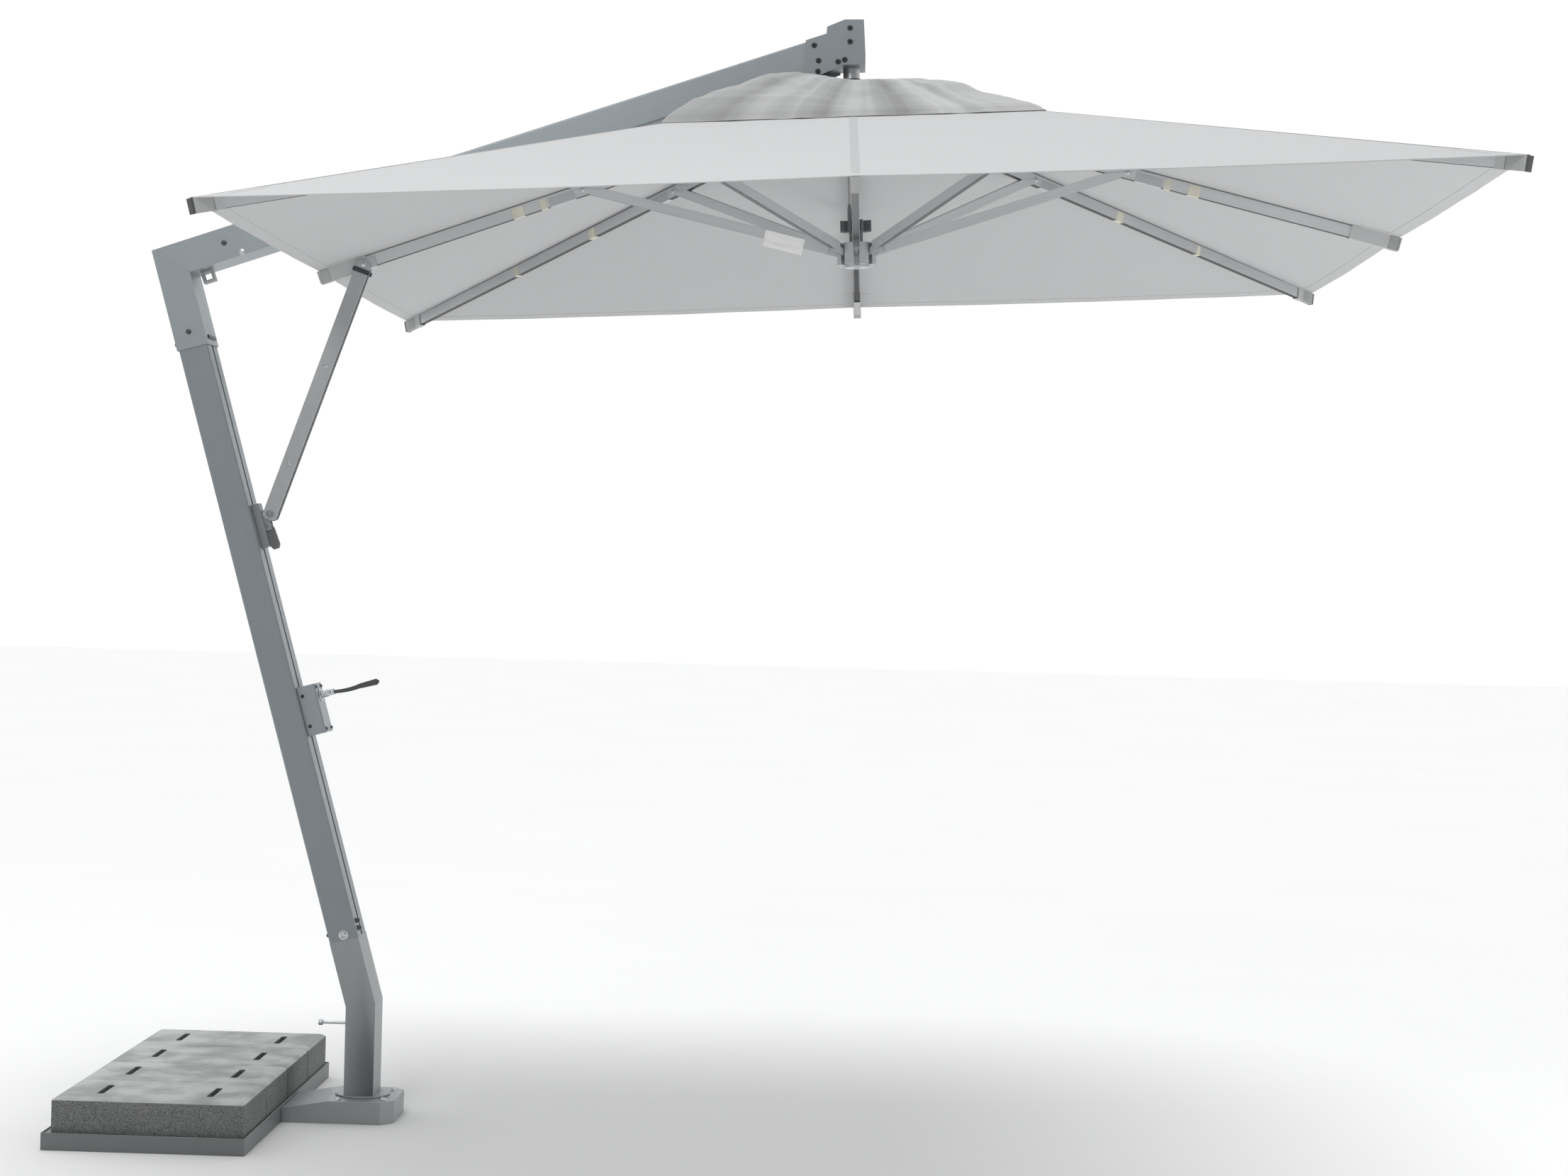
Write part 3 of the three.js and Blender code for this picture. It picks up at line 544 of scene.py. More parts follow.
def mast_fasteners():
    """Bolts and nuts of the elbow, the mast's joint and the boom head."""
    bright = Shape()
    dark = Shape()
    for at in both_sides(MAST, 0.0, SLEEVE_HALF, SLEEVE_END + 0.045):
        hex_nut(dark, at, 5 * MM, 4.5 * MM)
    for at in both_sides(BOOM, 0.147, SLEEVE_HALF, -0.038):
        hex_nut(dark, at, 5 * MM, 4.5 * MM)
    for at in both_sides(BOOM, 0.187, SLEEVE_HALF, -0.077):
        cap_nut(bright, at, 5.5 * MM, 8 * MM)
    for at in both_sides(MAST, 0.0026, WIDE_HALF, MAST_JOINT + 0.0145):
        cap_nut(bright, at, 9 * MM, 10 * MM)
    back = -SLIM_HALF - SLEEVE_SKIN
    pan_head(dark, aim(MAST, (back, -0.030, SLEEVE_END + 0.022), (-1, 0, 0)), 6 * MM, 8 * MM)
    dark.block(MAST, (-back, 4 * MM - back), (-0.042, 0.042), (SLEEVE_END + 0.017, SLEEVE_END + 0.027))
    pan_head(dark, aim(MAST, (-SLIM_HALF, -0.030, MAST_JOINT + 0.021), (-1, 0, 0)), 6 * MM, 8 * MM)
    for z in (MAST_JOINT + 0.022, MAST_JOINT + 0.043):
        pan_head(dark, aim(MAST, (SLIM_HALF, -0.034, z), (1, 0, 0)), 6 * MM, 9 * MM)
    for x, z in ((1.189, 3.006), (1.202, 2.964), (1.201, 2.934), (1.256, 2.962), (1.274, 2.968),
                 (1.2865, 3.056), (1.2875, 3.018)):
        for side in (-1, 1):
            at = aim(Matrix.Identity(4), (x, side * SLEEVE_HALF, z), (0, side, 0))
            pan_head(dark, at, 5.5 * MM, 5 * MM)
    pan_head(dark, aim(BOOM, (1.895, 0, SLEEVE_SKIN), (0, 0, 1)), 5.5 * MM, 6 * MM)
    bright.piece("mast_cap_nuts", "mast", "zinc", ZINC)
    dark.piece("mast_bolts", "mast", "zinc", DARK_STEEL)


def mitre_point(mast_x, boom_z):
    """Where a face of the mast's sleeve meets a face of the boom's."""
    low, high = (BOOM.inverted() @ MAST @ Vector((mast_x, 0, z)) for z in (0, 1))
    return MAST @ Vector((mast_x, 0, (boom_z - low.z) / (high.z - low.z)))


def elbow_welds():
    """The weld beads along both sides of the elbow's mitre."""
    out = mitre_point(-SLIM_HALF - SLEEVE_SKIN, SLEEVE_SKIN)
    back = mitre_point(SLIM_HALF + SLEEVE_SKIN, -2 * SLIM_HALF - SLEEVE_SKIN)
    beads = Shape()
    for side in (-1, 1):
        points = [out.lerp(back, 0.01 + 0.98 * i / 60) + side * SLEEVE_HALF * ACROSS for i in range(61)]
        radii = [(1.5 + 0.25 * math.sin(2.1 * i)) * MM for i in range(61)]
        beads.tube(points, radii, 10)
    beads.piece("elbow_weld", "mast", "aluminium", COATED)


def winch_screws():
    """The casing's screws, and the flanged plate that the crank's shaft comes out of."""
    front = SLIM_HALF + 0.0526
    screws = Shape()
    plate = Shape()
    for y in (-0.036, 0.036):
        for z in (0.768, 0.888):
            pan_head(screws, aim(MAST, (front, y, z), (1, 0, 0)), 4 * MM, 3 * MM)
    for z in (0.785, 0.871):
        for side in (-1, 1):
            at = aim(MAST, (SLIM_HALF + 0.012, side * 0.045, z), (0, side, 0))
            pan_head(screws, at, 3.5 * MM, 2.5 * MM)
    plate.turn(aim(MAST, (front, 0, CRANK_ALONG), (1, 0, 0)),
               [(19 * MM, 0), (19 * MM, 1.5 * MM), (16 * MM, 3 * MM), (13 * MM, 3.4 * MM),
                (12 * MM, 0.4 * MM), (6.6 * MM, 0.2 * MM), (6.5 * MM, 0)], 36)
    screws.piece("winch_screws", "mast", "zinc", DARK_STEEL)
    plate.piece("crank_plate", "mast", "zinc", ZINC)


# ---- base ----

PLAN = Matrix(((1, 0, 0, 0), (0, 0, 1, 0), (0, 1, 0, 0), (0, 0, 0, 1)))  # prisms along z


def carved(piece, cutters):
    """Cuts a shape out of a piece for good."""
    mesh = bpy.data.meshes.new("cutter")
    bmesh.ops.recalc_face_normals(cutters.bm, faces=cutters.bm.faces)
    cutters.bm.to_mesh(mesh)
    cutters.bm.free()
    tool = bpy.data.objects.new("cutter", mesh)
    bpy.context.scene.collection.objects.link(tool)
    cut = piece.modifiers.new("cut", "BOOLEAN")
    cut.operation = "DIFFERENCE"
    cut.solver = "EXACT"
    cut.object = tool
    while piece.modifiers[0] != cut:
        piece.modifiers.remove(piece.modifiers[0])
    graph = bpy.context.evaluated_depsgraph_get()
    result = bpy.data.meshes.new_from_object(piece.evaluated_get(graph))
    piece.modifiers.clear()
    piece.data = result
    bpy.data.objects.remove(tool)


def slab(row):
    node = f"ballast_slab_{row}"
    low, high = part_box(node)
    chamfer = 12 * MM
    corners = [(low.x, low.y), (high.x, low.y), (high.x, high.y), (low.x, high.y)]
    inset = [(low.x + chamfer, low.y + chamfer), (high.x - chamfer, low.y + chamfer),
             (high.x - chamfer, high.y - chamfer), (low.x + chamfer, high.y - chamfer)]
    shape = Shape()
    levels = [(corners, low.z), (corners, high.z - 0.6 * chamfer), (inset, high.z)]
    shape.rings([[Vector((x, y, z)) for x, y in rounded(outline, 7 * MM, 3)]
                 for outline, z in levels])
    piece = shape.piece(f"slab_{row}", "base", "concrete", CONCRETE)
    middle = (low.y + high.y) / 2
    slots = Shape()
    for x in (low.x + 0.107, high.x - 0.109):
        outline = rounded([(x - 0.0085, middle - 0.062), (x + 0.0085, middle - 0.062),
                           (x + 0.0085, middle + 0.062), (x - 0.0085, middle + 0.062)], 9 * MM, 4)
        slots.prism(PLAN, outline, high.z - 0.045, high.z + 0.01)
    carved(piece, slots)
    round_edges(piece, 1.6 * MM)
    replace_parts(piece, node)


def swivel_details():
    """The lock pin's pull knob, and the set screws of the foot bracket."""
    low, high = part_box("swivel_lock_pin")
    z = (low.z + high.z) / 2
    knob = Shape()
    at = aim(Matrix.Identity(4), (low.x + 0.012, 0, z), (-1, 0, 0))
    ribs = [((8.6 if i % 2 else 8.2) * MM, (1 + i) * MM) for i in range(10)]
    knob.turn(at, [(4.2 * MM, 0), (8.1 * MM, 0.2 * MM), *ribs, (7.6 * MM, 12 * MM), (1 * MM, 12.4 * MM)])
    knob.piece("lock_pin_knob", "lock_pin", "zinc", ZINC)
    screws = Shape()
    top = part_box("foot_bracket")[1].z
    for x, y in ((0.070, -0.076), (0.070, 0.076), (-0.052, -0.092), (-0.052, 0.092)):
        pan_head(screws, aim(Matrix.Identity(4), (x, y, top), (0, 0, 1)), 7 * MM, 6 * MM)
    screws.piece("bracket_bolts", "base", "zinc", ZINC)


# ---- canopy cloth ----

PEAK = HUB_HEIGHT * HALF / (HALF - HUB_RADIUS)  # of the ribs' planes over the rim
CLEARANCE = 0.0205  # from the ribs' centre lines to the middle of the cloth
THICK = 1.1 * MM
RIM_SAG = 0.005  # between the rib tips
OPENING = 0.240  # half the opening at the crown
VENT_HALF = 0.500


def ribs_apart(x, y):
    """Share of the way from the middle rib (0) to the corner rib (1) of a side."""
    big, small = max(abs(x), abs(y)), min(abs(x), abs(y))
    return small / big if big else 0.0


def outwards(x, y):
    """Distance from the centre as a square counts it, eased over the corner ribs."""
    ease = 0.016
    big, small = max(abs(x), abs(y)), min(abs(x), abs(y))
    return big + ease * max(0.0, 1 - (big - small) / ease) ** 2 / 4


def main_height(x, y):
    out = outwards(x, y)
    share = ribs_apart(x, y)
    between = 4 * share * (1 - share)
    sag = RIM_SAG * (out / HALF) ** 1.6 * between
    tension = 0.0011 * noise.noise(Vector((9 * share, 1.3 * out, 3 * math.atan2(y, x))))
    return PEAK * (1 - out / HALF) + CLEARANCE - sag + tension * between


VENT_PROFILE = ((0.048, 0.4850), (0.12, 0.480), (0.19, 0.469), (0.24, 0.453), (0.295, 0.430),
                (0.352, 0.400), (0.41, 0.372), (0.46, 0.350), (0.488, 0.334), (0.50, 0.3193))
VENT_LIFT = 0.026  # the crown hangs level, so its side over the boom stands higher
VENT_STEEP = 0.31  # where the folds hang deepest, and how far to each side they reach
VENT_FOLD_REACH = 0.09
VENT_EDGE = 0.08  # width of the border that lies down onto the canopy


def vent_height(x, y):
    """A bell that stands over the opening, with folds hanging in its steep part."""
    out = max(outwards(x, y), VENT_PROFILE[0][0])
    height = VENT_PROFILE[-1][1]
    for (near, high), (far, low) in zip(VENT_PROFILE, VENT_PROFILE[1:]):
        if near <= out <= far:
            t = (out - near) / (far - near)
            height = high + (low - high) * (0.3 * t * t * (3 - 2 * t) + 0.7 * t)
    side = min(1.0, max(0.0, (0.03 - x) / 0.20))
    lift = VENT_LIFT * side * side * (3 - 2 * side) * min(1.0, max(0.0, (out - 0.05) / 0.1))
    angle = math.atan2(y, x)
    waves = noise.noise(Vector((3.1 * math.cos(angle), 3.1 * math.sin(angle), 4.0)))
    crumple = noise.noise(Vector((9 * x, 9 * y, 2.5))) + 0.5 * noise.noise(Vector((21 * x, 21 * y, 7)))
    folds = math.sin(9 * angle + 9.0 * waves + 4 * out) + 0.9 * waves
    steep = math.exp(-((out - VENT_STEEP) / VENT_FOLD_REACH) ** 2)
    edge = max(0.0, (out - VENT_HALF + VENT_EDGE) / VENT_EDGE)
    flutter = 0.5 + 0.5 * math.sin(7 * angle + 6 * waves)
    return (height + lift * (1 - edge) + 0.0035 * steep * folds + 0.013 * crumple * steep
            + 0.0015 * (0.3 + 0.7 * edge) * flutter)


def plan_point(k, out, along):
    """A point of panel k: out from the centre, and along from -1 to 1 between its edges."""
    if corner(k):
        near, far = out, out * (1 - abs(along) / 2)
        x, y = (near, far) if along < 0 else (far, near)
    else:
        x, y = out, along * out / 2
    turn = (k // 2) * math.pi / 2
    return (x * math.cos(turn) - y * math.sin(turn), x * math.sin(turn) + y * math.cos(turn))


def cloth_at(height, k, out, along):
    x, y = plan_point(k, out, along)
    return Vector((x, y, height(x, y)))


def cloth_normal(height, x, y):
    step = 0.002
    across = Vector((2 * step, 0, height(x + step, y) - height(x - step, y)))
    along = Vector((0, 2 * step, height(x, y + step) - height(x, y - step)))
    return across.cross(along).normalized()


def cloth_strip(name, k, height, outs, alongs, above, below):
    """A closed piece of cloth on panel k, between two heights off the cloth's middle."""
    sheet = [[cloth_at(height, k, out, a) for a in (alongs(out) if callable(alongs) else alongs)]
             for out in outs]
    normals = [[cloth_normal(height, p.x, p.y) for p in row] for row in sheet]
    bm = bmesh.new()
    layers = []
    for lift in (above, -below):
        layers.append([[bm.verts.new(CANOPY @ (p + lift * n)) for p, n in zip(row, ns)]
                       for row, ns in zip(sheet, normals)])
    top, bottom = layers
    rows, columns = len(sheet), len(sheet[0])
    for i in range(rows - 1):
        for j in range(columns - 1):
            bm.faces.new((top[i][j], top[i + 1][j], top[i + 1][j + 1], top[i][j + 1]))
            bm.faces.new((bottom[i][j], bottom[i][j + 1], bottom[i + 1][j + 1], bottom[i + 1][j]))
    border = ([(0, j) for j in range(columns)] + [(i, columns - 1) for i in range(1, rows)]
              + [(rows - 1, j) for j in range(columns - 2, -1, -1)]
              + [(i, 0) for i in range(rows - 2, 0, -1)])
    for (i, j), (m, n) in zip(border, border[1:] + border[:1]):
        bm.faces.new((top[i][j], top[m][n], bottom[m][n], bottom[i][j]))
    skin = 2 * (rows - 1) * (columns - 1)
    bmesh.ops.recalc_face_normals(bm, faces=bm.faces)
    mesh = bpy.data.meshes.new(name)
    bm.to_mesh(mesh)
    bm.free()
    spin = CANOPY.to_3x3()
    smooth = [spin @ n for row in normals for n in row]
    smooth += [-n for n in smooth]
    mesh.shade_smooth()
    custom = []
    for face in mesh.polygons:
        for loop in face.loop_indices:
            vertex = mesh.loops[loop].vertex_index
            custom.append(smooth[vertex] if face.index < skin else face.normal)
    mesh.normals_split_custom_set(custom)
    piece = bpy.data.objects.new(name, mesh)
    bpy.context.scene.collection.objects.link(piece)
    return piece


def on_rib(piece, k, material):
    """Gives a piece of cloth its material and lets it ride on its rib, with a mesh of its own."""
    piece.data.materials.append(material)
    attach(piece, f"rib_{k + 1}")
    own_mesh(piece)


def spaced(low, high, count):
    return [low + (high - low) * i / (count - 1) for i in range(count)]


def tape_edges(half_width):
    """Positions along a panel that keep a tape the same width over its whole length."""
    return lambda out: [side * min(0.9, 2 * half_width / out) for side in (-1, -0.5, 0, 0.5, 1)]


def main_panel(k):
    half = 0.5 * THICK
    panel = cloth_strip(f"cloth_{k + 1}", k, main_height, spaced(OPENING, HALF, 64),
                        spaced(-1, 1, 49), half, half)
    hem = cloth_strip(f"hem_{k + 1}", k, main_height, [HALF - 0.030, HALF - 0.015, HALF - 0.004,
                      HALF + 0.0015], spaced(-1, 1, 49), 2.2 * half, 2.2 * half)
    tape = cloth_strip(f"seam_{k + 1}", k, main_height, spaced(OPENING, HALF - 0.03, 40),
                       tape_edges(0.013 if corner(k) else 0.010), 2 * half, 2 * half)
    rim = cloth_strip(f"opening_hem_{k + 1}", k, main_height, [OPENING - 0.002, OPENING + 0.02],
                      spaced(-1, 1, 17), 2.2 * half, 2.2 * half)
    patch = cloth_strip(f"patch_{k + 1}", k, main_height, spaced(HALF - 0.11, HALF - 0.002, 6),
                        tape_edges(0.045), 1.9 * half, 2.6 * half)
    for piece, paint in ((panel, CLOTH_PAINT), (hem, HEM), (tape, TAPE), (rim, TAPE), (patch, HEM)):
        on_rib(piece, k, paint)
    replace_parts(panel, f"canopy_panel_{k + 1}")


def vent_panel(k):
    half = 0.5 * THICK
    panel = cloth_strip(f"vent_{k + 1}", k, vent_height, spaced(0.048, VENT_HALF, 44),
                        spaced(-1, 1, 33), half, half)
    hem = cloth_strip(f"vent_hem_{k + 1}", k, vent_height, [VENT_HALF - 0.022, VENT_HALF - 0.004,
                      VENT_HALF + 0.0015], spaced(-1, 1, 33), 1.4 * half, 1.1 * half)
    for piece in (panel, hem):
        on_rib(piece, k, VENT)
    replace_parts(panel, "vent_cap")


def crown():
    """A round cloth cover over the vent's middle, and the clamped collar that holds it."""
    cover = Shape()
    profile = [(0.102, 0.4842), (0.103, 0.4852), (0.075, 0.4880), (0.030, 0.4895),
               (0.0245, 0.4895), (0.0245, 0.4880), (0.030, 0.4878), (0.075, 0.4864)]
    cover.turn(CANOPY, profile, 64, closed=True)
    cover.piece("crown_cover", "mast", "canopy_fabric", TAPE)
    collar = Shape()
    ring = [(0.0233, 0.4898), (0.032, 0.4898), (0.034, 0.4915), (0.033, 0.5010), (0.029, 0.5040),
            (0.0233, 0.5045)]
    collar.turn(CANOPY, ring, 48, closed=True)
    collar.piece("crown_collar", "mast", "black_plastic", BLACK, 0.6 * MM)


# ---- rope ----

ROPE_DROP = -0.016  # the rope's place in the canopy's frame, beside its axis
ROPE_IN_MAST = -0.016
ROPE_AT_SHEAVE = 0.0268
ROPE_RADIUS = 2.5 * MM
CRIMP_TOP = 0.1583


def sheave_arc(joint, start, end):
    """Points round a sheave, from one direction off its centre to another."""
    centre = joint_point(joint)
    return [centre + ROPE_AT_SHEAVE * start.slerp(end, i / 12) for i in range(13)]


def hoist_ropes():
    """The rope that stays in mast, boom and shaft, and the end that travels with the hub."""
    route = [CANOPY @ Vector((ROPE_DROP, 0, CRIMP_TOP)),
             *sheave_arc("head_sheave_turn", canopy_out, boom_up),
             *sheave_arc("elbow_sheave_turn", boom_up, -mast_out),
             MAST @ Vector((ROPE_IN_MAST, 0.0228, CRANK_ALONG))]
    fixed = Shape()
    fixed.tube(route, [ROPE_RADIUS] * len(route), 14)
    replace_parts(fixed.piece("hoist_rope_run", "mast", "rope", CORD), "hoist_rope")
    moving = Shape()
    ends = [CANOPY @ Vector((ROPE_DROP, 0, z)) for z in (CRIMP_TOP - 0.006, 0.35, 0.60)]
    moving.tube(ends, [0.92 * ROPE_RADIUS] * 3, 14)
    moving.piece("hoist_rope_end", "lower_hub", "rope", CORD)


# ---- ribs and struts ----

RIB_HALF = 8.2 * MM
RIB_BORE = ((-6.6 * MM, 6.6 * MM), (-14.4 * MM, 14.4 * MM))  # inside the rib's walls, y and z
STRUT_CHEEK = 10.1 * MM
CLIPS = {False: (0.940, 0.868), True: (1.140, 1.520)}  # radii of the cloth's holders


def tip_of(k):
    """Where the rib ends in the canopy's plan."""
    return (HALF, HALF) if corner(k) else (HALF, 0.0)


def u_channel(shape, place, x, half, z, wall):
    """A channel open at the top, round a bar of that half width, from z to z."""
    (low, high), out = z, half + wall
    outline = [(-out, high), (-out, low - wall), (out, low - wall), (out, high), (half, high),
               (half, low), (-half, low), (-half, high)]
    shape.rings([[place @ Vector((along, y, height)) for y, height in outline] for along in x])


def rib_end(k):
    """The plate and sleeve on the rib's end, a black strip below it that stands in for the shade on the rib's
    underside, and the canopy's pocket over it.
    """
    end = rib_length(k)
    place = rib_place(k)
    plate = Shape()
    outline = [(end - 3.8 * MM, -19 * MM), (end + 1.5 * MM, -19 * MM), (end + 2.5 * MM, 18 * MM),
               (end - 3.8 * MM, 18 * MM)]
    wide = (9.2 if corner(k) else 12) * MM
    plate.prism(place, rounded(outline, 2 * MM, 3), -wide, wide)
    plate.block(place, (end - 26 * MM, end - 4.2 * MM), *RIB_BORE)
    paint = DARK_GREY if corner(k) else LIGHT_GREY
    plate.piece(f"rib_cap_{k + 1}", f"rib_{k + 1}", "black_plastic", paint, 0.8 * MM)
    sleeve = Shape()
    length, loose = (0.058, 0.2 * MM) if corner(k) else (0.030, 2.8 * MM)
    u_channel(sleeve, place, (end - length, end - 4.4 * MM), RIB_HALF + loose,
              (-17.4 * MM - 0.4 * loose, 17.5 * MM), 0.8 * MM)
    sleeve.piece(f"rib_end_sleeve_{k + 1}", f"rib_{k + 1}", "nylon", LIGHT_GREY, 0.3 * MM)
    # A black strip under the rib, standing in for the shade on its underside.
    shade_strip = Shape()
    shade_strip.block(place, (44 * MM, end - 30 * MM), (-7.8 * MM, 7.8 * MM), (-16.8 * MM, -15.8 * MM))
    shade_strip.piece(f"rib_shade_strip_{k + 1}", f"rib_{k + 1}", "black_plastic", BLACK)
    pocket = Shape()
    low, high = (0.085, 0.058) if corner(k) else (0.140, 0.030)
    u_channel(pocket, place, (end - low, end - high), RIB_HALF + 1.4 * MM,
              (-18.2 * MM, 18.6 * MM), 1.2 * MM)
    pocket.piece(f"rib_pocket_{k + 1}", f"rib_{k + 1}", "canopy_fabric", HEM, 0.5 * MM)


def rib_clips(k):
    """The silver sleeve beside the strut's joint, and the thin nylon saddles of the canopy's straps."""
    place = rib_place(k)
    joint = (joint_point(f"strut_{k + 1}_fold") - place.translation).length
    sleeve = Shape()
    u_channel(sleeve, place, (joint + 24 * MM, joint + 100 * MM), RIB_HALF + 0.05 * MM,
              (-16.45 * MM, 9 * MM), 0.4 * MM)
    sleeve.piece(f"rib_sleeve_{k + 1}", f"rib_{k + 1}", "silver_aluminium", SILVERED, 0.4 * MM)
    for number, radius in enumerate(CLIPS[corner(k)]):
        x = (radius - HUB_RADIUS) * rib_length(k) / (math.hypot(*tip_of(k)) - HUB_RADIUS)
        clip = Shape()
        half = (9 if number else 16) * MM
        u_channel(clip, place, (x - half, x + half), RIB_HALF + 0.05 * MM, (-16.4 * MM, 12 * MM),
                  0.45 * MM)
        clip.piece(f"rib_clip_{k + 1}_{number + 1}", f"rib_{k + 1}", "nylon", NYLON, 0.15 * MM)


def strut_joint(k):
    """Heads of the pin through the strut's cheeks and the rib. Corner ones lie flat in the cloth."""
    place = strut_place(k)
    end = (joint_point(f"strut_{k + 1}_fold") - place.translation).length
    pin = Shape()
    for at in both_sides(place, end, STRUT_CHEEK, 0):
        if corner(k):
            pan_head(pin, at, 4.0 * MM, 2.6 * MM)
        else:
            cap_nut(pin, at, 5.2 * MM, 6.5 * MM)
    pin.piece(f"strut_pin_{k + 1}", f"strut_{k + 1}", "zinc", ZINC)


def rib_plug(k):
    """The plug that closes the rib's inner end beside the hub."""
    plug = Shape()
    plug.block(rib_place(k), (28.6 * MM, 31.5 * MM), *RIB_BORE)
    plug.piece(f"rib_plug_{k + 1}", f"rib_{k + 1}", "black_plastic", BLACK, 0.6 * MM)


def care_tag():
    """A blank paper label, folded over a strut and left to hang below it."""
    place = strut_place(4)
    out = STRUT_CHEEK + 0.5 * MM
    skin = 0.35 * MM
    profile = [(-out - 2.2 * MM, -27 * MM), (-out - 0.9 * MM, -16 * MM), (-out - 0.1 * MM, -6 * MM),
               (-out, 4 * MM), (-out, 14 * MM), (-out + 1.2 * MM, 18.6 * MM),
               (-out + 4 * MM, 19.3 * MM), (0, 19.4 * MM), (out - 4 * MM, 19.3 * MM),
               (out - 1.2 * MM, 18.6 * MM), (out, 14 * MM), (out, 0), (out + 0.3 * MM, -12 * MM)]
    tag = Shape()
    loops = []
    for i in range(13):
        along = 0.100 + 0.112 * i / 12
        wave = 0.9 * MM * math.sin(2.4 * math.pi * i / 12)
        outer = [(y + wave * max(0.0, -z / 0.027) * (1 if y > 0 else -1), z) for y, z in profile]
        inner = []
        for n, (y, z) in enumerate(outer):
            before = Vector(outer[max(n - 1, 0)])
            after = Vector(outer[min(n + 1, len(outer) - 1)])
            along_edge = (after - before).normalized()
            inner.append((y + skin * along_edge.y, z - skin * along_edge.x))
        loops.append([place @ Vector((along, y, z)) for y, z in outer + inner[::-1]])
    tag.rings(loops)
    tag.piece("blank_tag", "strut_5", "paper", PAPER)


# ---- crank ----

CRANK_PIVOT = 0.128
GRIP_LOW = CRANK_ALONG - 0.003


def crank_details():
    """The folding arm with its eye, the smooth grip on its end, and the fork's pin and collar."""
    arm = Shape()
    start, bend, end = (Vector((CRANK_PIVOT, 0, CRANK_ALONG)), Vector((0.175, 0, CRANK_ALONG - 0.008)),
                        Vector((0.205, 0, GRIP_LOW)))
    route = [start.lerp(bend, t).lerp(bend.lerp(end, t), t) for t in (i / 14 for i in range(15))]
    route += [Vector((x, 0, GRIP_LOW)) for x in (0.215, 0.235, 0.262)]
    radii = [(4.8 + 1.7 * i / 14) * MM for i in range(15)] + [4.5 * MM] * 3
    arm.tube([MAST @ p for p in route], radii, 20)
    eye = [(0.1 * MM, -5 * MM), (5.8 * MM, -5 * MM), (7 * MM, -4 * MM), (7 * MM, 4 * MM),
           (5.8 * MM, 5 * MM), (0.1 * MM, 5 * MM)]
    arm.turn(aim(MAST, (CRANK_PIVOT, 0, CRANK_ALONG), (0, 1, 0)), eye, 32)
    arm.turn(aim(MAST, (0.262, 0, GRIP_LOW), (1, 0, 0)),
             [(4.5 * MM, -2 * MM), (4.2 * MM, 0), (2.8 * MM, 0.9 * MM), (0.1 * MM, 1.1 * MM)], 20)
    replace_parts(arm.piece("crank_arm", "crank_handle", "zinc", DARK_GREY, 0.5 * MM), "crank_handle")
    grip = Shape()
    outline = [(5.0 * MM, 0), (6.4 * MM, 0), (7.0 * MM, 1.2 * MM)]
    outline += [((7.2 + 1.5 * i / 12) * MM, (3 + 45 * i / 12) * MM) for i in range(13)]
    outline += [(8.2 * MM, 50 * MM), (6.6 * MM, 51.8 * MM), (5.0 * MM, 52 * MM)]
    grip.turn(aim(MAST, (0.207, 0, GRIP_LOW), (1, 0, 0)), outline, 40, closed=True)
    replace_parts(grip.piece("crank_grip_shell", "crank_grip", "black_plastic", DARK_GREY), "crank_grip")
    fork = Shape()
    for at in both_sides(MAST, CRANK_PIVOT, 9 * MM, CRANK_ALONG):
        cap_nut(fork, at, 4.2 * MM, 4.4 * MM)
    fork.turn(aim(MAST, (0.0985, 0, CRANK_ALONG), (-1, 0, 0)),
              [(10.5 * MM, -3 * MM), (11.5 * MM, -2 * MM), (11.5 * MM, 1 * MM), (10 * MM, 2.2 * MM),
               (6.6 * MM, 2.4 * MM), (6.5 * MM, 2 * MM)], 32)
    fork.piece("crank_fork_pin", "crank", "zinc", ZINC)


# ---- brace ----

def brace_details():
    """Pivot nuts at the carriage, rivet heads and nuts on the bars, and the clamp at the top."""
    carriage = MAST.inverted() @ BRACE.translation
    pivot = Shape()
    for at in both_sides(MAST, carriage.x, 19.3 * MM, carriage.z):
        hex_nut(pivot, at, 7.5 * MM, 5.5 * MM)
    for at in both_sides(MAST, 0.072, 13 * MM, 1.356):
        cap_nut(pivot, at, 4.5 * MM, 4.5 * MM)
    pivot.piece("carriage_nuts", "carriage", "zinc", CARRIAGE_PAINT)
    bars = Shape()
    for height in (0.151, 0.441):
        for at in both_sides(BRACE, 0, 19 * MM, height):
            pan_head(bars, at, 4 * MM, 2.6 * MM)
    for at in both_sides(BRACE, 0, 19 * MM, 0.7435):
        hex_nut(bars, at, 4.5 * MM, 4 * MM)
    bars.piece("brace_rivets", "wind_brace", "zinc", ZINC)
    clamp = Shape()
    outline = [(-24 * MM, 0.718), (24 * MM, 0.718), (25 * MM, 0.724), (23 * MM, 0.731),
               (-23 * MM, 0.731), (-25 * MM, 0.724)]
    for low, high in ((-21.5, -19.2), (19.2, 21.5)):
        clamp.prism(BRACE, rounded(outline, 4 * MM, 3), low * MM, high * MM)
    clamp.piece("brace_clamp", "wind_brace", "black_plastic", BLACK, 0.5 * MM)


# ---- CAD parts that stay ----

ALONG_MAST = frame_of(mast_up, -mast_out, MAST.translation)
ALONG_BRACE = BRACE @ Matrix.Rotation(-math.pi / 2, 4, "Y")
SOFT_EDGE = {"elbow_bracket": 3.0, "boom_head": 3.0, "mast_foot": 1.6, "base_tray": 1.6,
             "foot_bracket": 2.4, "swivel_ring": 1.2, "hoist_yoke": 1.0, "wind_brace": 1.0,
             "brace_carriage": 1.2, "winch_housing": 2.0, "winch_cover": 2.0, "carriage_lever": 1.6}


OWN_PAINT = {"base_tray": TRAY_PAINT, "hoist_yoke": YOKE_PAINT, "brace_carriage": CARRIAGE_PAINT,
             "elbow_clip": LIGHT_GREY, "carriage_lever": LEVER_PAINT}


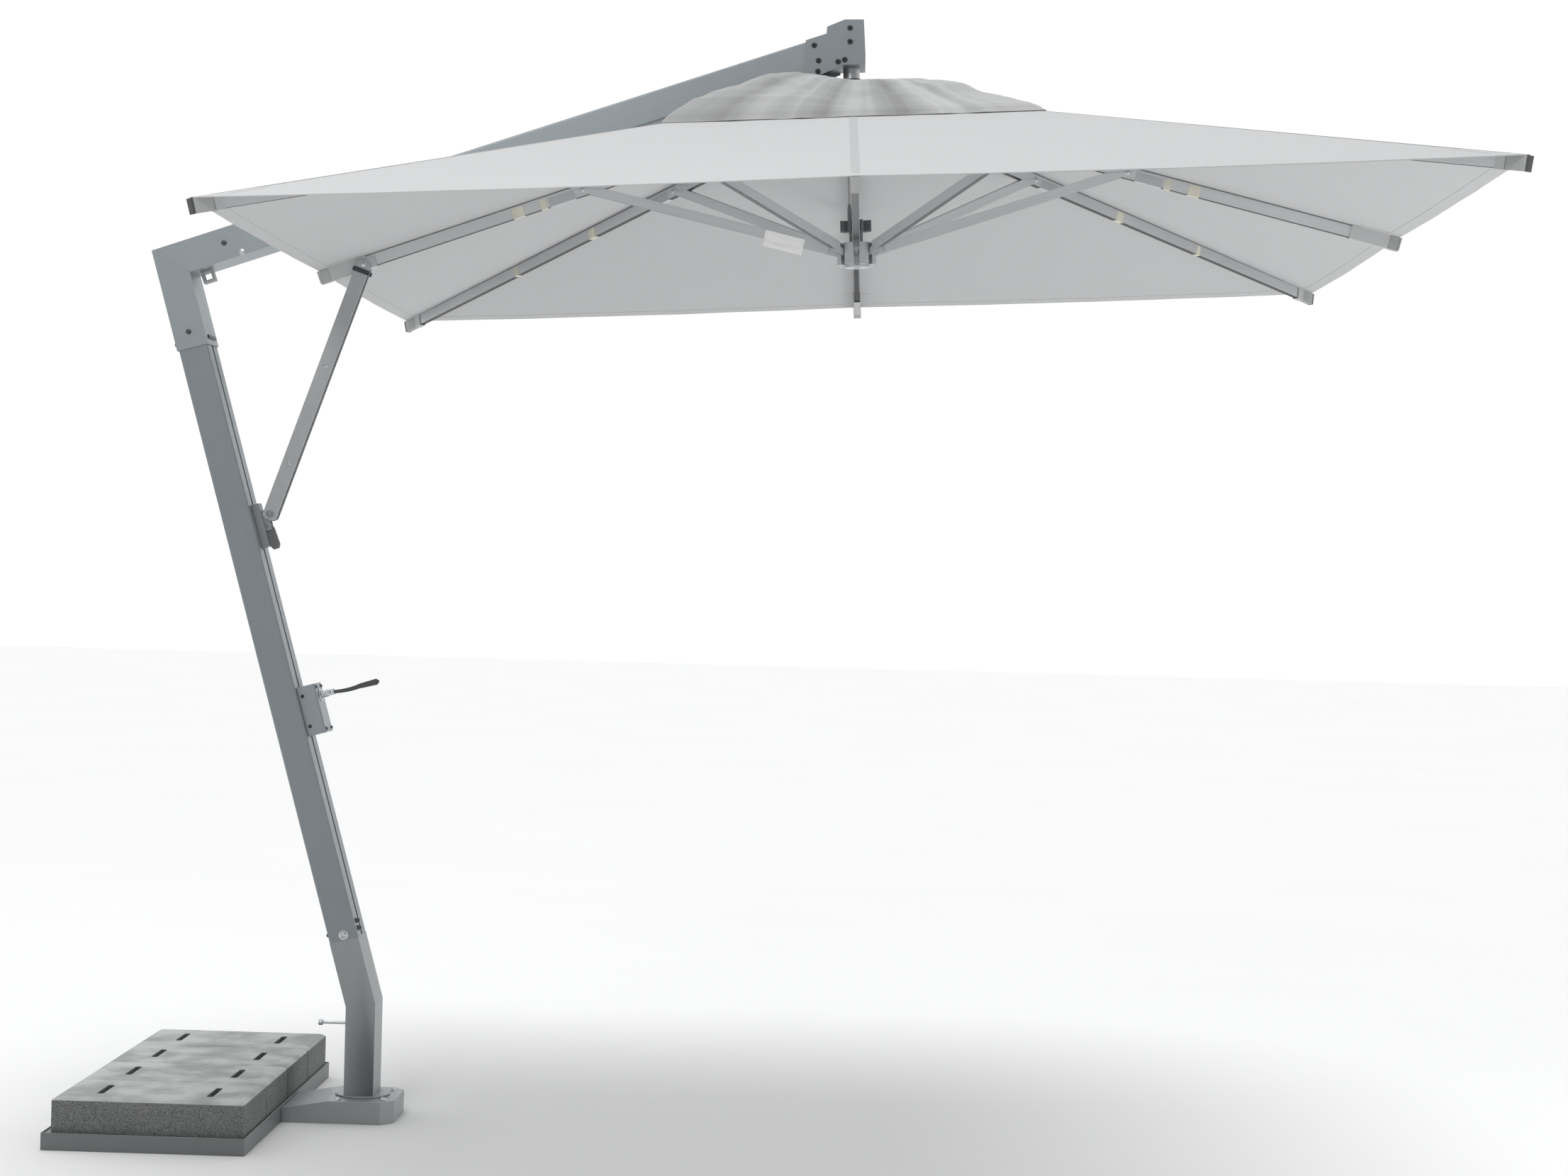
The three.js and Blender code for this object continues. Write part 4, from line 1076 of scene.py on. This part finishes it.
def part_paint(name, slot):
    """The material of a CAD part: drawn profiles have a grain that follows their own length."""
    number = int(name[-1]) - 1 if name[-1].isdigit() else 0
    # The mast's and the boom's profiles are one coated aluminium: the mast's colour is painted darker as painted
    # shade, the boom's lighter as painted light.
    if name == "mast_profile":
        return drawn_metal(name, ALONG_MAST, (0.24, 0.265, 0.278), 0.38, 0.5)
    if name == "boom_profile":
        return drawn_metal(name, BOOM, (0.32, 0.35, 0.365), 0.38, 0.5)
    if name == "wind_brace":
        return drawn_metal(name, ALONG_BRACE, (0.40, 0.41, 0.415), 0.34, 0.6)
    # Ribs and struts: the last argument paints their downward faces darker, as painted shade.
    if name.startswith("rib_"):
        return drawn_metal(name, rib_place(number), SILVER, 0.36, 0.55, 0.05)
    if name.startswith("strut_"):
        return drawn_metal(name, strut_place(number), SILVER, 0.36, 0.55, 0.35)
    return OWN_PAINT.get(name, BY_SLOT[slot])


def finish_part(name, slot):
    node = frame["nodes"][name]
    mesh = node.data
    for layer in ("custom_normal", "sharp_edge"):
        if layer in mesh.attributes:
            mesh.attributes.remove(mesh.attributes[layer])
    mesh.shade_smooth()
    mesh.materials.clear()
    mesh.materials.append(part_paint(name, slot))
    node.modifiers.new("weld", "WELD").merge_threshold = 0.02 * MM
    facets = node.modifiers.new("facets", "DECIMATE")
    facets.decimate_type = "DISSOLVE"
    facets.angle_limit = math.radians(0.6)
    round_edges(node, SOFT_EDGE.get(name, 0.7) * MM, 3 if name in SOFT_EDGE else 2)


# ---- camera, floor and light ----

CAMERA_AT = (1.353520662, -7.723137400, 1.538460736)
YAW, PITCH, ROLL = 0.02734855, -0.00403544, -0.02574540


def photograph_camera():
    data = bpy.data.cameras.new("camera")
    data.sensor_width = 36.0
    data.lens = 63.727
    camera = bpy.data.objects.new("camera", data)
    bpy.context.scene.collection.objects.link(camera)
    camera.matrix_world = (Matrix.Translation(CAMERA_AT) @ Matrix.Rotation(YAW, 4, "Z")
                           @ Matrix.Rotation(PITCH, 4, "X") @ Matrix.Rotation(ROLL, 4, "Y")
                           @ Matrix.Rotation(math.pi / 2, 4, "X"))
    bpy.context.scene.camera = camera


def pale_floor():
    half = 40.0
    mesh = bpy.data.meshes.new("floor")
    mesh.from_pydata([(-half, -half, 0), (half, -half, 0), (half, half, 0), (-half, half, 0)],
                     [], [(0, 1, 2, 3)])
    floor = bpy.data.objects.new("floor", mesh)
    bpy.context.scene.collection.objects.link(floor)
    paint = Paint("floor", 0.9)
    paint.colour(paint.blend(paint.noise(0.8), (0.75, 0.75, 0.75), (0.78, 0.78, 0.78)))
    mesh.materials.append(paint.material)


def sky():
    """A white surround, darker behind the camera and far to the right."""
    world = bpy.data.worlds.new("surround")
    world.use_nodes = True
    bpy.context.scene.world = world
    tree = world.node_tree
    background = tree.nodes["Background"]
    at = tree.nodes.new("ShaderNodeTexCoord")
    ramps = []
    for axis, start, end, low, high in ((0, 0.3, 1.0, 1.0, 0.8), (1, -0.7, 0.2, 0.34, 1.04)):
        parts = tree.nodes.new("ShaderNodeSeparateXYZ")
        tree.links.new(at.outputs["Generated"], parts.inputs[0])
        ramp = tree.nodes.new("ShaderNodeMapRange")
        for name, value in (("From Min", start), ("From Max", end), ("To Min", low), ("To Max", high)):
            ramp.inputs[name].default_value = value
        tree.links.new(parts.outputs[axis], ramp.inputs["Value"])
        ramps.append(ramp.outputs[0])
    strength = tree.nodes.new("ShaderNodeMath")
    strength.operation = "MULTIPLY"
    for socket, ramp in zip(strength.inputs, ramps):
        tree.links.new(ramp, socket)
    background.inputs["Color"].default_value = (0.985, 0.992, 1.0, 1.0)
    tree.links.new(strength.outputs[0], background.inputs["Strength"])


def light(name, kind, at, target, energy, size):
    """A lamp at a point, aimed at another. Size is a width in metres, or an angle for the sun."""
    data = bpy.data.lights.new(name, kind)
    data.energy = energy
    if kind == "SUN":
        data.angle = size
    else:
        data.shape = "DISK"
        data.size = size
    lamp = bpy.data.objects.new(name, data)
    bpy.context.scene.collection.objects.link(lamp)
    facing = (Vector(target) - Vector(at)).to_track_quat("-Z", "Y").to_matrix().to_4x4()
    lamp.matrix_world = Matrix.Translation(at) @ facing


# ---- everything in its place ----

photograph_camera()
pale_floor()
sky()
light("overhead", "SUN", (0.8, 0.4, 5.0), (0, 0, 0), 1.5, math.radians(40))
light("side_panel", "AREA", (4.6, -1.2, 0.4), (2.3, 0, 2.6), 26, 1.6)
light("front_top", "AREA", (-1.0, -5.0, 5.2), (-0.2, 0, 2.7), 75, 1.6)
bpy.context.scene.view_settings.view_transform = "Standard"

for subpart in frame["record"]["subparts"]:
    finish_part(subpart["node"], subpart["material_slot"])
for row in range(1, 5):
    slab(row)
swivel_details()
mast_fasteners()
elbow_welds()
winch_screws()
crank_details()
brace_details()
hoist_ropes()
for k in ARMS:
    main_panel(k)
    vent_panel(k)
    rib_end(k)
    rib_clips(k)
    strut_joint(k)
    rib_plug(k)
crown()
care_tag()
